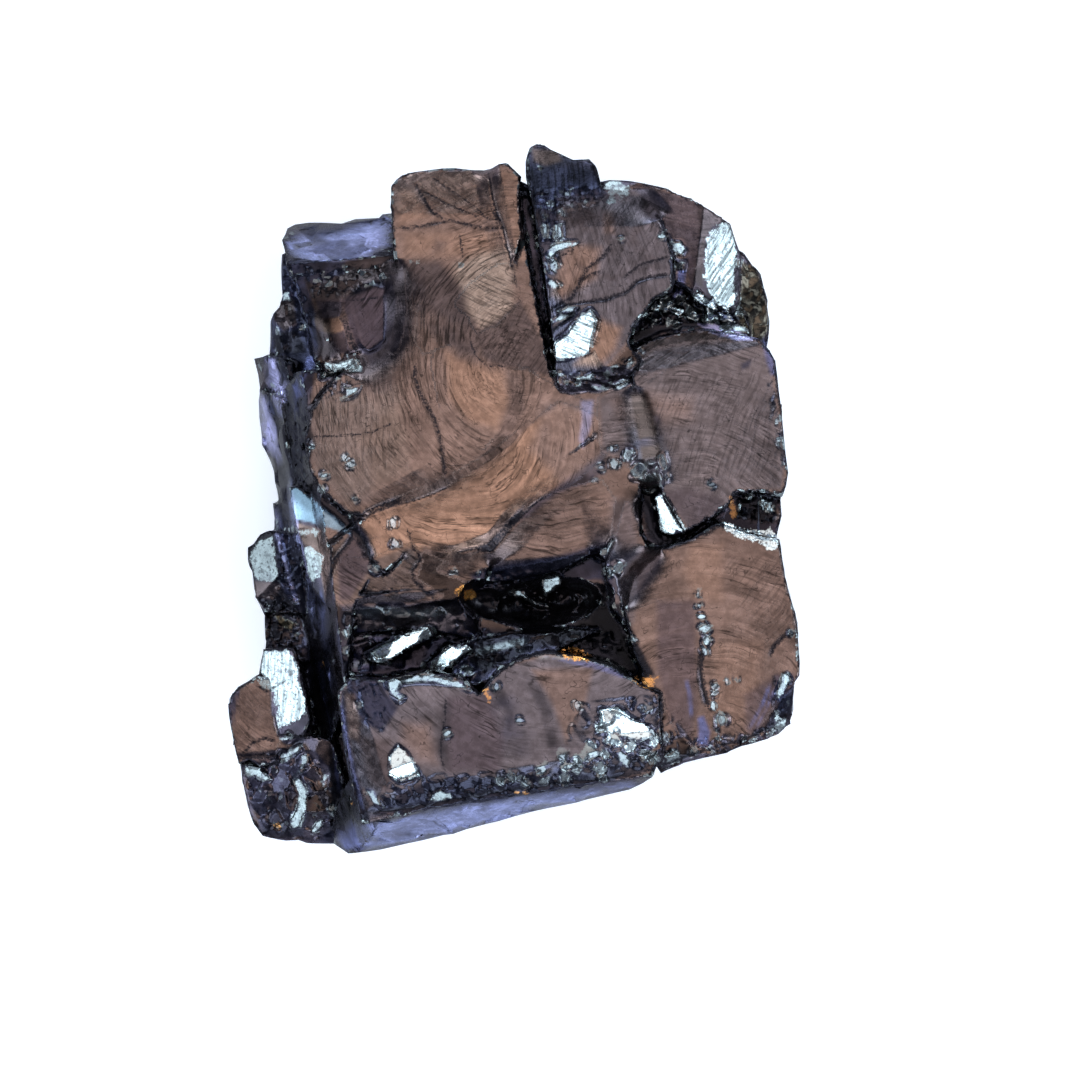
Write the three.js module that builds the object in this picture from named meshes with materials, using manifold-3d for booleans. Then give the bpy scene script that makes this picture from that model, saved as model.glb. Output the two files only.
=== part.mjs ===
// A raw chunk of shungite, as found: one solid lump of glassy black mineraloid with
// stepped conchoidal fracture faces, a deep parting between its two upper lobes, a cleft
// behind its front block, a low ledge down its west side and a flat parting face to rest on.
//
// Millimetres, +Z up, origin at the middle of the base. North is +Y, east is +X.
// Outlines are drawn in plan on a square grid, x to the east and y to the south.
import * as THREE from "three";
import { mergeVertices } from "three/addons/utils/BufferGeometryUtils.js";
import Module from "manifold-3d";

// ---- driving dimensions -------------------------------------------------------------
const LENGTH = 35.5; // north to south
const GRID_LENGTH = 710; // the same length in grid squares
const GRID_MIDDLE = [511.5, 499.75]; // the grid point that lies over the origin
const HIGHEST = 40; // any height well above the stone, for solids that are cut back
const SQUARE = LENGTH / GRID_LENGTH;

// Compass bearings, in degrees from east, towards north.
const E = 0;
const N = 90;
const W = 180;
const S = 270;

// ---- solids -------------------------------------------------------------------------
const wasm = await Module();
wasm.setup();

const radians = THREE.MathUtils.degToRad;
const toEast = (x) => (x - GRID_MIDDLE[0]) * SQUARE;
const toNorth = (y) => (GRID_MIDDLE[1] - y) * SQUARE;

function solidOf(geometry) {
  const bare = new THREE.BufferGeometry();
  bare.setAttribute("position", geometry.getAttribute("position").clone());
  bare.setIndex(geometry.getIndex());
  const merged = mergeVertices(bare, 1e-4);
  return new wasm.Manifold(
    new wasm.Mesh({
      numProp: 3,
      vertProperties: merged.attributes.position.array,
      triVerts: new Uint32Array(merged.index.array),
    }),
  );
}

function geometryOf(solid) {
  const mesh = solid.getMesh();
  const geometry = new THREE.BufferGeometry();
  geometry.setAttribute("position", new THREE.BufferAttribute(mesh.vertProperties, 3));
  geometry.setIndex(new THREE.BufferAttribute(mesh.triVerts, 1));
  geometry.computeVertexNormals();
  return geometry;
}

// A column that stands on the base, with a plan outline given in grid points.
function column(outline) {
  const plan = outline.map(([x, y]) => new THREE.Vector2(toEast(x), toNorth(y)));
  if (THREE.ShapeUtils.isClockWise(plan)) plan.reverse();
  const shape = new THREE.Shape(plan);
  return solidOf(new THREE.ExtrudeGeometry(shape, { depth: HIGHEST, bevelEnabled: false }));
}

// Removes what lies on the outer side of a plane through a point.
function cleave(solid, point, outward) {
  const side = 4 * HIGHEST;
  const block = new THREE.BoxGeometry(side, side, side);
  block.translate(0, 0, side / 2);
  const turn = new THREE.Quaternion().setFromUnitVectors(new THREE.Vector3(0, 0, 1), outward);
  block.applyQuaternion(turn);
  block.translate(...point.toArray());
  return solid.subtract(solidOf(block));
}

// A fracture face through grid point (x, y) at a height, which falls away towards a bearing.
const face = (x, y, height, fall, bearing) => ({ x, y, height, fall, bearing });

function upwardNormal({ fall, bearing }) {
  const tilt = radians(fall);
  const turn = radians(bearing);
  return new THREE.Vector3(
    Math.sin(tilt) * Math.cos(turn),
    Math.sin(tilt) * Math.sin(turn),
    Math.cos(tilt),
  );
}

// A level top at a height.
const level = (height) => face(...GRID_MIDDLE, height, 0, E);

const pointOf = ({ x, y, height }) => new THREE.Vector3(toEast(x), toNorth(y), height);

// A block of the stone: a column cut down by each of its top faces.
const block = (outline, ...tops) =>
  tops.reduce((solid, top) => cleave(solid, pointOf(top), upwardNormal(top)), column(outline));

// A flank: a plane that faces a bearing and leans in under the stone.
function flank(solid, { x, y, height, fall, bearing }) {
  const lean = radians(fall);
  const turn = radians(bearing);
  const outward = new THREE.Vector3(
    Math.cos(lean) * Math.cos(turn),
    Math.cos(lean) * Math.sin(turn),
    -Math.sin(lean),
  );
  return cleave(solid, new THREE.Vector3(toEast(x), toNorth(y), height), outward);
}

// A conchoidal scoop: the hollow that a flake leaves, part of a stretched ball.
function scoop(solid, { x, y, height, radius, stretch = [1, 1, 1], turn = 0 }) {
  const ball = new THREE.SphereGeometry(radius, 28, 18);
  ball.scale(...stretch);
  ball.rotateZ(radians(turn));
  ball.translate(toEast(x), toNorth(y), height);
  return solid.subtract(solidOf(ball));
}

const join = (solids) => solids.reduce((solid, next) => solid.add(next));

const trim = (blocks, flanks) => flanks.reduce(flank, join(blocks));

// ---- the upper lobes ------------------------------------------------------------------
const crown = () =>
  block(
    [
      [391, 186], [397, 179], [405, 175], [419, 171], [447, 169], [472, 170], [490, 174],
      [512, 184], [518, 200], [525, 240], [533, 285], [541, 325], [548, 362], [553, 384],
      [540, 412], [500, 450], [450, 480], [400, 501], [365, 516], [345, 512], [322, 490],
      [310, 470], [305, 440], [312, 410], [330, 385], [352, 366], [392, 356], [397, 335],
      [402, 300], [399, 280], [395, 262], [392, 228],
    ],
    face(470, 300, 12.3, 5, N),
    face(450, 205, 11.8, 14, N),
    face(352, 430, 12.6, 8, W),
  );

const crownTop = () =>
  block(
    [
      [480, 168], [485, 169], [498, 164], [505, 164], [515, 171], [521, 178], [519, 196],
      [522, 240], [510, 274], [502, 240], [496, 215], [486, 195],
    ],
    face(508, 220, 12.2, 7, N),
  );

const fin = () =>
  block(
    [
      [526, 174], [526, 158], [529, 150], [535, 145], [541, 144.5], [556, 152], [572, 161],
      [588, 161], [594, 167], [600, 183], [603, 202], [625, 200], [648, 206], [662, 225],
      [668, 245], [674, 262], [671, 292], [655, 300], [632, 330], [628, 346], [640, 362],
      [628, 380], [600, 393], [562, 399], [556, 382], [551, 330], [546, 290], [540, 250],
      [533, 210],
    ],
    face(600, 290, 13.5, 5, N),
    face(565, 196, 12.9, 19, N),
    face(590, 371, 13.7, 42, S),
    face(560, 300, 13.5, 20, 200),
  );

const partingFloor = () =>
  block(
    [
      [508, 184], [536, 184], [552, 210], [566, 290], [570, 380], [540, 400], [516, 330],
      [500, 210],
    ],
    face(535, 280, 9.4, 12, N),
  );

const backShoulder = () =>
  block(
    [
      [590, 196], [600, 185], [612, 181], [628, 182], [640, 183.5], [650, 186], [664, 189],
      [678, 195], [690, 199], [702, 205], [714, 213], [729, 223], [733, 231], [737, 245],
      [740, 256], [739, 300], [733, 314], [716, 312], [700, 304], [684, 288], [660, 275],
      [636, 218], [600, 222],
    ],
    face(690, 240, 12.4, 11, 60),
    face(707, 262, 12.25, 31, 10),
    face(628, 198, 12.5, 26, 95),
  );

const eastShoulder = () =>
  block(
    [
      [720, 246], [742, 252], [748, 260], [755, 267], [761, 276], [764, 290], [768, 305],
      [770, 320], [769, 330], [766, 352], [748, 354], [734, 330], [718, 300],
    ],
    face(748, 300, 10.75, 18, 350),
  );

const glitterPocket = () =>
  block(
    [
      [622, 360], [640, 296], [662, 270], [696, 270], [730, 296], [748, 318], [752, 352],
      [690, 366],
    ],
    face(690, 318, 11.2, 10, 80),
  );

// ---- the middle faces -------------------------------------------------------------------
const sill = () =>
  block(
    [
      [352, 500], [400, 484], [450, 462], [500, 432], [530, 400], [545, 376], [600, 380],
      [622, 410], [612, 440], [585, 462], [558, 481], [528, 502], [508, 528], [492, 546],
      [470, 556], [448, 559], [428, 552], [412, 540], [400, 560], [385, 575], [372, 560],
      [366, 540], [354, 526],
    ],
    face(470, 500, 12.5, 2, W),
  );

const lens = () =>
  block(
    [
      [612, 424], [574, 452], [546, 470], [516, 490], [496, 516], [480, 540], [468, 584],
      [520, 580], [560, 570], [590, 556], [608, 540], [620, 515], [622, 480],
    ],
    face(555, 520, 12.2, 9, 250),
    face(520, 560, 11.8, 22, 265),
  );

const apron = () =>
  block(
    [
      [330, 545], [360, 520], [420, 528], [470, 540], [492, 560], [484, 584], [455, 600],
      [410, 607], [332, 606],
    ],
    face(400, 575, 12.0, 11, S),
  );

const saddle = () =>
  block(
    [
      [562, 376], [590, 372], [652, 366], [668, 420], [668, 476], [641, 482], [639, 530],
      [650, 552], [672, 600], [652, 640], [628, 632], [610, 605], [606, 570], [600, 520],
      [600, 482], [572, 480], [556, 440],
    ],
    face(620, 460, 12.7, 5, 200),
    face(622, 560, 12.8, 9, 190),
  );

const eastFace = () =>
  block(
    [
      [628, 350], [660, 338], [700, 331], [735, 335], [758, 341], [766, 349], [774, 362],
      [776, 385], [780, 412], [783, 445], [786, 475], [784, 487], [780, 496], [756, 491],
      [733, 493], [727, 505], [708, 520], [684, 533], [664, 497], [655, 482], [646, 440],
      [636, 400],
    ],
    face(710, 430, 13.7, 5, N),
    face(690, 356, 13.3, 16, 100),
    face(768, 430, 13.5, 8, E),
  );

const brightChip = () =>
  block([[654, 498], [666, 484], [696, 524], [680, 537], [660, 534]], face(670, 516, 12.4, 32, 200));

const chipFloor = () =>
  block(
    [[640, 470], [676, 470], [712, 512], [702, 556], [650, 566], [632, 530]],
    face(660, 520, 11.6, 3, W),
  );

const eastNotch = () =>
  block(
    [[710, 476], [772, 480], [783, 502], [780, 520], [776, 542], [735, 546], [700, 530]],
    face(750, 510, 10.6, 8, E),
  );

const eastBlock = () =>
  block(
    [
      [656, 550], [690, 538], [715, 523], [735, 530], [757, 536], [777, 539], [779, 548],
      [781, 560], [784, 580], [788, 595], [796, 625], [797, 640], [796, 655], [798, 668],
      [798, 675], [793, 682], [792, 695], [791, 710], [788, 720], [782, 729], [773, 735],
      [745, 743], [715, 753], [685, 760], [660, 771], [644, 735], [642, 690], [640, 668],
      [632, 650], [626, 620], [622, 590], [640, 562],
    ],
    face(710, 640, 14.9, 5, N),
    face(766, 690, 15.0, 34, 335),
    face(785, 620, 14.4, 8, E),
    face(730, 738, 15.2, 38, 285),
  );

// ---- the front block and the cleft behind it -----------------------------------------------
const frontBlock = () =>
  block(
    [
      [340, 690], [352, 676], [388, 678], [430, 668], [462, 675], [480, 692], [500, 668],
      [520, 657], [545, 650], [580, 655], [610, 664], [640, 682], [658, 692], [660, 735],
      [662, 762], [640, 771], [600, 779], [550, 787], [500, 794], [430, 806], [365, 821],
      [356, 795], [346, 740],
    ],
    face(500, 725, 16.1, 3, 100),
    face(500, 772, 16.1, 20, 279),
    face(372, 740, 16.0, 16, 185),
    face(630, 725, 16.1, 20, 310),
  );

const frontWall = () =>
  block(
    [
      [350, 780], [640, 745], [656, 760], [651, 774], [640, 782], [625, 787], [605, 794],
      [585, 800], [565, 807], [545, 815], [533, 820], [520, 827], [505, 830], [480, 833],
      [450, 839], [420, 844], [400, 846], [385, 850], [375, 853], [360, 852], [350, 855],
      [338, 852], [332, 846], [336, 810],
    ],
    level(15.55),
    face(500, 797, 15.4, 69, 279),
    face(352, 800, 12.5, 66, 200),
  );

const cleftFloor = () =>
  block(
    [[322, 596], [470, 560], [625, 545], [670, 640], [680, 710], [500, 735], [330, 720]],
    face(400, 640, 11.3, 8, 100),
    face(580, 620, 9.5, 4, 200),
  );

const cleftRidges = () => [
  block(
    [[364, 652], [404, 634], [432, 627], [438, 636], [410, 647], [384, 662], [368, 660]],
    face(400, 645, 12.6, 30, 300),
  ),
  block(
    [[426, 664], [448, 646], [466, 642], [472, 650], [452, 666], [434, 674]],
    face(448, 657, 12.9, 30, 300),
  ),
  block(
    [[352, 596], [410, 590], [470, 586], [480, 640], [400, 628], [356, 634]],
    face(400, 612, 11.6, 20, 280),
  ),
  block(
    [[464, 644], [540, 628], [600, 630], [564, 646], [525, 662], [480, 684], [446, 682]],
    face(520, 640, 12.5, 24, 100),
  ),
];

// ---- the west side ----------------------------------------------------------------------------
const westPlate = () =>
  block(
    [
      [294, 258], [345, 258], [401, 246], [408, 262], [412, 280], [416, 300], [410, 335],
      [404, 368], [352, 376], [316, 362], [306, 320], [296, 290],
    ],
    face(370, 320, 11.5, 9, 170),
    face(340, 268, 11.0, 24, 95),
  );

const plateStep = () =>
  block(
    [[316, 313], [343, 311], [348, 330], [352, 346], [362, 360], [340, 358], [318, 350]],
    face(335, 335, 11.7, 6, 190),
  );

const backStrip = () =>
  block(
    [
      [281, 240], [284, 228], [290, 221], [300, 219], [320, 218], [333, 219.5], [345, 217],
      [352, 214], [362, 213], [372, 214], [379, 214], [381, 206], [385, 202], [386, 190],
      [400, 186], [404, 260], [345, 272], [290, 276],
    ],
    level(11.05),
    face(335, 258, 10.9, 66, 95),
  );

const westWallUpper = () =>
  block(
    [
      [280, 252], [304, 258], [314, 300], [324, 350], [326, 376], [306, 412], [284, 400],
      [268, 354], [268, 345], [269, 330], [269, 318], [272, 311], [277, 305], [280, 295],
      [279, 280],
    ],
    level(11.25),
    face(308, 310, 11.0, 58, 190),
    face(280, 320, 8.2, 25, 170),
  );

const sheets = () => [
  block(
    [
      [250, 357], [267, 354], [292, 362], [296, 410], [272, 412], [256, 392], [255, 375],
      [252, 362],
    ],
    level(9.4),
    face(266, 380, 7.0, 66, 195),
  ),
  block(
    [
      [253, 397], [257, 388], [284, 398], [296, 470], [300, 506], [275, 497], [272, 480],
      [269, 465], [265, 455], [259, 445], [256, 430], [254, 415],
    ],
    level(9.1),
    face(268, 440, 6.4, 72, 190),
  ),
  block(
    [[268, 502], [274, 503], [277, 493], [302, 494], [304, 546], [271, 530], [270, 510]],
    level(8.6),
    face(278, 515, 6.5, 60, 180),
  ),
];

const westWall = () =>
  block(
    [
      [272, 398], [298, 372], [338, 372], [326, 410], [322, 440], [330, 480], [358, 506],
      [380, 560], [354, 606], [346, 696], [324, 764], [312, 745], [306, 720], [300, 660],
      [290, 600], [284, 545], [277, 490], [271, 450],
    ],
    level(12.0),
    face(304, 440, 11.8, 70, 185),
    face(330, 600, 11.4, 68, 188),
  );

const paleChip = () =>
  block(
    [
      [289, 487], [299, 486], [314, 497], [335, 508], [352, 528], [345, 548], [334, 575],
      [326, 605], [312, 590], [300, 545], [292, 515],
    ],
    face(312, 512, 11.3, 33, 195),
    face(318, 560, 10.9, 30, 190),
  );

// ---- the mass of stone under the faces ----------------------------------------------------------
const heart = () =>
  trim(
    [
      block(
        [
          [330, 280], [400, 272], [410, 205], [500, 194], [545, 194], [600, 214], [690, 229],
          [728, 272], [750, 334], [758, 480], [760, 600], [765, 690], [690, 730], [560, 765],
          [400, 788], [366, 706], [340, 700], [334, 610], [332, 560], [328, 480], [326, 400],
        ],
        level(10.6),
      ),
    ],
    [
      face(322, 440, 6, 14, W),
      face(500, 202, 8, 20, N),
      face(755, 480, 9, 20, E),
      face(500, 775, 8, 22, 280),
    ],
  );

const westHeart = () =>
  trim(
    [
      block(
        [
          [298, 254], [345, 254], [366, 790], [347, 826], [302, 762], [290, 700], [282, 600],
          [280, 520], [276, 420], [278, 330],
        ],
        level(6.3),
      ),
    ],
    [face(278, 480, 6, 23, 177)],
  );

// ---- the ledge --------------------------------------------------------------------------------
const ledge = () => [
  block(
    [
      [246, 547], [252, 543], [258, 535], [268, 530], [298, 534], [304, 590], [306, 616],
      [262, 612], [254, 600], [252, 590], [249, 570], [247, 560],
    ],
    face(262, 565, 8.2, 31, 188),
    face(262, 600, 7.9, 26, 240),
  ),
  block(
    [
      [255, 604], [285, 588], [314, 596], [324, 664], [264, 660], [262, 640], [261, 630],
      [264, 620], [258, 608],
    ],
    face(285, 625, 7.2, 14, 160),
  ),
  block(
    [
      [262, 650], [293, 648], [302, 680], [310, 722], [302, 738], [277, 736], [268, 700],
      [257, 686], [259, 668],
    ],
    face(285, 690, 9.0, 31, 190),
  ),
  block(
    [
      [225, 708], [228, 697], [235, 689], [245, 683], [256, 677], [276, 684], [290, 728],
      [312, 726], [304, 750], [278, 762], [258, 770], [236, 766], [231, 745], [227, 725],
    ],
    face(255, 720, 8.3, 9, 215),
    face(228, 725, 8.3, 40, 185),
  ),
  block(
    [
      [237, 756], [258, 752], [296, 732], [332, 742], [345, 790], [345, 846], [332, 847],
      [318, 847], [305, 846], [297, 843], [285, 844], [270, 843], [258, 839], [250, 830],
      [246, 815], [241, 795], [238, 780],
    ],
    face(280, 790, 8.1, 17, 240),
    face(285, 825, 7.6, 35, 265),
    face(300, 800, 8.2, 24, 200),
  ),
];

// ---- the hollows --------------------------------------------------------------------------------
const CAVITIES = [
  { x: 545, y: 603, height: 12.6, radius: 3.5, stretch: [1, 0.44, 1], turn: 8 },
  { x: 490, y: 604, height: 12.0, radius: 1.6, stretch: [1, 0.7, 1.2], turn: -20 },
];

const FLANK_SCOOPS = [
  { x: 872, y: 585, height: 4.5, radius: 7.0 },
  { x: 655, y: 75, height: 3.0, radius: 7.5 },
  { x: 150, y: 430, height: 0.5, radius: 7.0 },
  { x: 540, y: 955, height: 2.5, radius: 8.5 },
];

// Corners broken off above the base.
const CORNERS = [
  face(752, 700, 4.2, 44, 318),
  face(345, 254, 3.4, 47, 128),
  face(700, 268, 3.6, 50, 52),
  face(316, 802, 3.0, 42, 232),
];

// ---- the masses: each is trimmed by the flanks that lean in under it -----------------------------
const north = () =>
  trim(
    [crown(), crownTop(), partingFloor()],
    [face(450, 166, 10.4, 19, 93), face(387, 185, 9.6, 24, 118)],
  );

const finMass = () => trim([fin()], [face(535, 142, 10.8, 24, 99), face(606, 176, 11.4, 27, 58)]);

const northEast = () =>
  trim(
    [backShoulder(), eastShoulder(), glitterPocket()],
    [face(690, 198, 10.8, 24, 62), face(742, 250, 10.4, 27, 38), face(771, 320, 9.6, 21, 8)],
  );

const northWest = () =>
  trim(
    [westPlate(), plateStep(), backStrip(), westWallUpper()],
    [face(300, 216, 6.6, 24, 98), face(267, 330, 6.6, 22, 170), face(280, 225, 7.0, 26, 145)],
  );

const east = () =>
  trim(
    [eastFace(), brightChip(), chipFloor(), eastNotch()],
    [face(787, 478, 11.4, 19, 3), face(760, 343, 12.0, 24, 30)],
  );

const southEast = () =>
  trim(
    [eastBlock()],
    [face(799, 668, 13.0, 16, 354), face(786, 732, 13.0, 27, 320), face(663, 771, 14.0, 23, 286)],
  );

const south = () =>
  trim(
    [frontBlock(), frontWall()],
    [face(430, 846, 10.2, 25, 279), face(336, 851, 8.6, 28, 232), face(645, 780, 14.0, 17, 289)],
  );

const west = () => trim([...sheets(), westWall(), paleChip()], [face(250, 370, 5.4, 24, 176)]);

const middle = () =>
  join([sill(), lens(), apron(), saddle(), cleftFloor(), ...cleftRidges(), heart(), westHeart()]);

const shelf = () =>
  trim(ledge(), [
    face(245, 560, 6.6, 27, 166),
    face(224, 712, 7.2, 25, 188),
    face(240, 812, 7.0, 33, 215),
    face(300, 849, 6.4, 22, 263),
  ]);

function stone() {
  const masses = [
    north(), finMass(), northEast(), northWest(), east(), southEast(), south(), west(), middle(), shelf(),
  ];
  return CORNERS.reduce(flank, [...CAVITIES, ...FLANK_SCOOPS].reduce(scoop, join(masses)));
}

const shungite = new THREE.MeshStandardMaterial({
  name: "shungite",
  color: new THREE.Color(0.1, 0.075, 0.065),
  roughness: 0.28,
  metalness: 0.7,
});

const mesh = new THREE.Mesh(geometryOf(stone()), shungite);
mesh.name = "shungite_stone";

const part = new THREE.Group();
part.add(mesh);
export default part;
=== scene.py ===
"""The looks of a raw shungite chunk: a fine mesh grown from the CAD solid, and its stone.

Places on the stone are points of a drawing grid laid over its plan, in squares: x runs east and y south, and
MIDDLE is the grid point over the part's origin. A line or an outline is written as its points, "x,y x,y".
Lengths are millimetres unless a name or its comment says otherwise.
"""

import math

import bpy
import numpy as np
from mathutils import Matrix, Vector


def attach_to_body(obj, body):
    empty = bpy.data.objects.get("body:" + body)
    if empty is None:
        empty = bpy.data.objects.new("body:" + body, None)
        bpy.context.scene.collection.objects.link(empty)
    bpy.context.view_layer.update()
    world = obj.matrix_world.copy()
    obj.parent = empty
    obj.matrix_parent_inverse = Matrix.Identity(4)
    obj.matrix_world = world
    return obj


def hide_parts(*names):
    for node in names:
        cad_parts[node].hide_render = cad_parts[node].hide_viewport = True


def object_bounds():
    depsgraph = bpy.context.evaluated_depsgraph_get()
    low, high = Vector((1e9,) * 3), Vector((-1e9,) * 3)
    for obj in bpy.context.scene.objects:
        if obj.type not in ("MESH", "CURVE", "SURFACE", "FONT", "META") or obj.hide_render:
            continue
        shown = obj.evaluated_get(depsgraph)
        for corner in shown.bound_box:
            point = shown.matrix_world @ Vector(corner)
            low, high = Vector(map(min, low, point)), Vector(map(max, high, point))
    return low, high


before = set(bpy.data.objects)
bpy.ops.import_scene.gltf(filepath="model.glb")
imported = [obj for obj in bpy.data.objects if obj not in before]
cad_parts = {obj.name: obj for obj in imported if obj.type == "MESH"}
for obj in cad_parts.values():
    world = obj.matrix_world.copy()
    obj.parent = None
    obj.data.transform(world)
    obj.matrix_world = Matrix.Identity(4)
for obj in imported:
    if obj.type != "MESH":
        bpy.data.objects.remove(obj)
cad_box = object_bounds()

SQUARE = 0.05  # the side of a square of the grid
MIDDLE = (511.5, 499.75)
METRES = 0.001  # in a millimetre
VOXEL = 0.10  # between the fine mesh's points
MOST_TRIANGLES = 196_000

# ---- colours of the glassy stone's painted reflection and painted shade, as linear red, green and blue ---
BROWN = (0.170, 0.117, 0.102)
# warm and cream: lighter browns of painted sheen
WARM = (0.270, 0.168, 0.125)
CREAM = (0.330, 0.265, 0.230)
UMBER = (0.066, 0.051, 0.054)
PLUM = (0.070, 0.054, 0.068)
SLATE = (0.108, 0.096, 0.112)
SOOT = (0.036, 0.031, 0.036)
TAUPE = (0.130, 0.110, 0.119)
# navy and black: the stone's own dark, and painted shade in hollows, clefts, on tilted ground and on edges
NAVY = (0.028, 0.031, 0.060)
BLACK = (0.012, 0.012, 0.018)
# painted shade: brown and plum darkened so that a lamp's flash on them looks like the brown and plum about
# them
LIT_BROWN = (0.046, 0.031, 0.027)
LIT_PLUM = (0.036, 0.028, 0.032)
# lavender, lilac and mauve: painted reflection of the pale room and floor on steep strips and slivers
LAVENDER = (0.110, 0.125, 0.270)
LILAC = (0.262, 0.292, 0.510)
MAUVE = (0.420, 0.420, 0.700)
# pale, ice, frost and gold: painted highlights of glints, sparks and pale facets
PAINTED_GLINT = (0.225, 0.262, 0.275)
ICE = (0.420, 0.500, 0.540)
FROST = (0.210, 0.320, 0.420)
GOLD = (1.000, 0.480, 0.140)
OLIVE = (0.100, 0.088, 0.060)

# ---- the fracture faces -----------------------------------------------------------------
# name: (outline, the point its ripples spread from, ripple spacing, ripple height, colour of its painted
# reflection)
FACES = {
    "crown": ("388,182 420,170 505,163 518,180 526,250 545,345 556,385 606,400 606,452 570,482 530,502 "
     "508,522 440,486 400,500 362,517 318,486 300,440 305,400 330,372 392,362 398,320 400,272 392,258",
     (518, 366), 0.36, 0.010, BROWN),
    "sill": ("360,518 400,503 448,485 500,452 530,425 560,405 600,420 600,455 570,480 530,500 508,525 "
     "490,548 450,560 425,548 405,560 372,560", (468, 440), 0.40, 0.010, WARM),
    "lens": ("500,545 520,512 560,492 600,482 612,500 606,540 560,556 500,566 470,580 440,570 455,556 "
     "480,552", (560, 340), 0.60, 0.006, BROWN),
    "apron": ("345,560 372,560 412,545 420,560 414,580 440,596 400,604 345,606 330,590",
     (450, 440), 0.45, 0.006, (0.140, 0.102, 0.092)),
    "plate": ("343,300 360,284 398,274 400,312 393,352 372,362 354,352 347,330",
     (300, 250), 0.80, 0.003, PLUM),
    "tower": ("538,200 600,200 664,200 680,240 674,290 650,302 625,345 600,375 556,380 546,320 540,250",
     (760, 300), 0.32, 0.008, SLATE),
    "cheek": ("632,186 700,200 720,218 706,240 704,262 690,268 672,240 650,215",
     (700, 120), 0.90, 0.003, (0.122, 0.094, 0.104)),
    "east": ("628,372 655,352 700,345 755,342 768,360 784,455 780,490 735,490 722,514 690,534 668,500 "
     "640,470 604,452 600,400", (640, 640), 0.26, 0.008, TAUPE),
    "south_east": ("628,505 660,550 715,530 776,552 798,640 799,676 772,700 750,730 700,750 672,720 "
     "655,680 612,610 606,570", (698, 770), 0.42, 0.008, BROWN),
    "front": ("345,690 392,676 440,674 480,690 500,665 545,655 600,660 640,680 660,700 645,770 560,785 "
     "400,808 372,812 356,760", (560, 560), 0.55, 0.006, SLATE),
    "toe": ("228,705 252,682 272,692 278,728 271,757 240,758 232,740", (310, 640), 0.22, 0.006, BROWN),
}

# ---- cracks: (line, half width, depth) --------------------------------------------------
CRACKS = [
    ("396,228 415,228 430,225 450,221 465,224 480,228 501,229", 0.03, 0.10),
    ("484,168 487,181 491,200 501,228 505,246 511,264 517,288", 0.035, 0.12),
    ("416,362 414,374 419,390 426,404 435,420 441,442 445,462 449,482", 0.045, 0.14),
    ("358,517 372,512 390,505 410,499 430,492 450,483", 0.03, 0.10),
    ("408,528 413,546 421,559 413,571 414,581 426,592 436,600", 0.04, 0.10),
    ("292,478 306,487 322,501 338,513 351,526 361,538 368,550 372,564", 0.16, 0.35),
    ("353,527 353,538 345,548 337,557 331,572 328,590 328,606", 0.07, 0.16),
    ("342,312 347,328 351,344 358,354 366,362", 0.02, 0.03),
    ("343,300 360,300 385,297", 0.02, 0.03),
    ("416,184 424,200 433,213 446,221", 0.05, 0.06),
    ("420,190 450,206 480,218", 0.02, 0.03),
    ("432,178 462,198 492,222", 0.02, 0.03),
    ("612,245 601,260 588,268 579,284 571,300 558,306", 0.045, 0.12),
    ("673,275 650,278 636,283 625,293 606,300 585,303 565,307 545,313", 0.05, 0.14),
    ("602,272 588,277 578,282", 0.035, 0.08),
    ("668,258 640,266 622,280", 0.04, 0.06),
    ("546,340 556,330 566,322 580,308", 0.06, 0.10),
    ("628,345 640,340 660,330 680,326 700,326", 0.05, 0.12),
    ("700,648 699,668 702,688 706,704", 0.09, 0.16),
    ("794,632 782,636 773,645 768,656", 0.05, 0.12),
    ("447,696 446,716 443,732 442,750 446,768", 0.03, 0.08),
    ("240,756 250,745 262,740 273,743", 0.04, 0.08),
    ("255,687 266,693 284,681", 0.03, 0.04),
    ("231,760 258,758 274,757 289,749 302,741", 0.10, 0.20),
    ("640,496 648,512 652,532 664,546 684,538 704,530 722,518", 0.14, 0.20),
    ("456,556 490,548 508,526 530,504 548,494", 0.05, 0.08),
    ("365,808 400,806 450,798 500,788 560,780 600,776 642,770", 0.07, 0.10),
    ("640,770 690,752 745,736 785,716", 0.06, 0.08),
    ("553,270 560,258 575,250", 0.03, 0.04),
    ("460,236 463,258", 0.02, 0.03),
    ("310,437 345,436 372,433 392,424", 0.02, 0.05),
    ("470,340 476,356 486,366 505,367", 0.02, 0.03),
]
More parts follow.
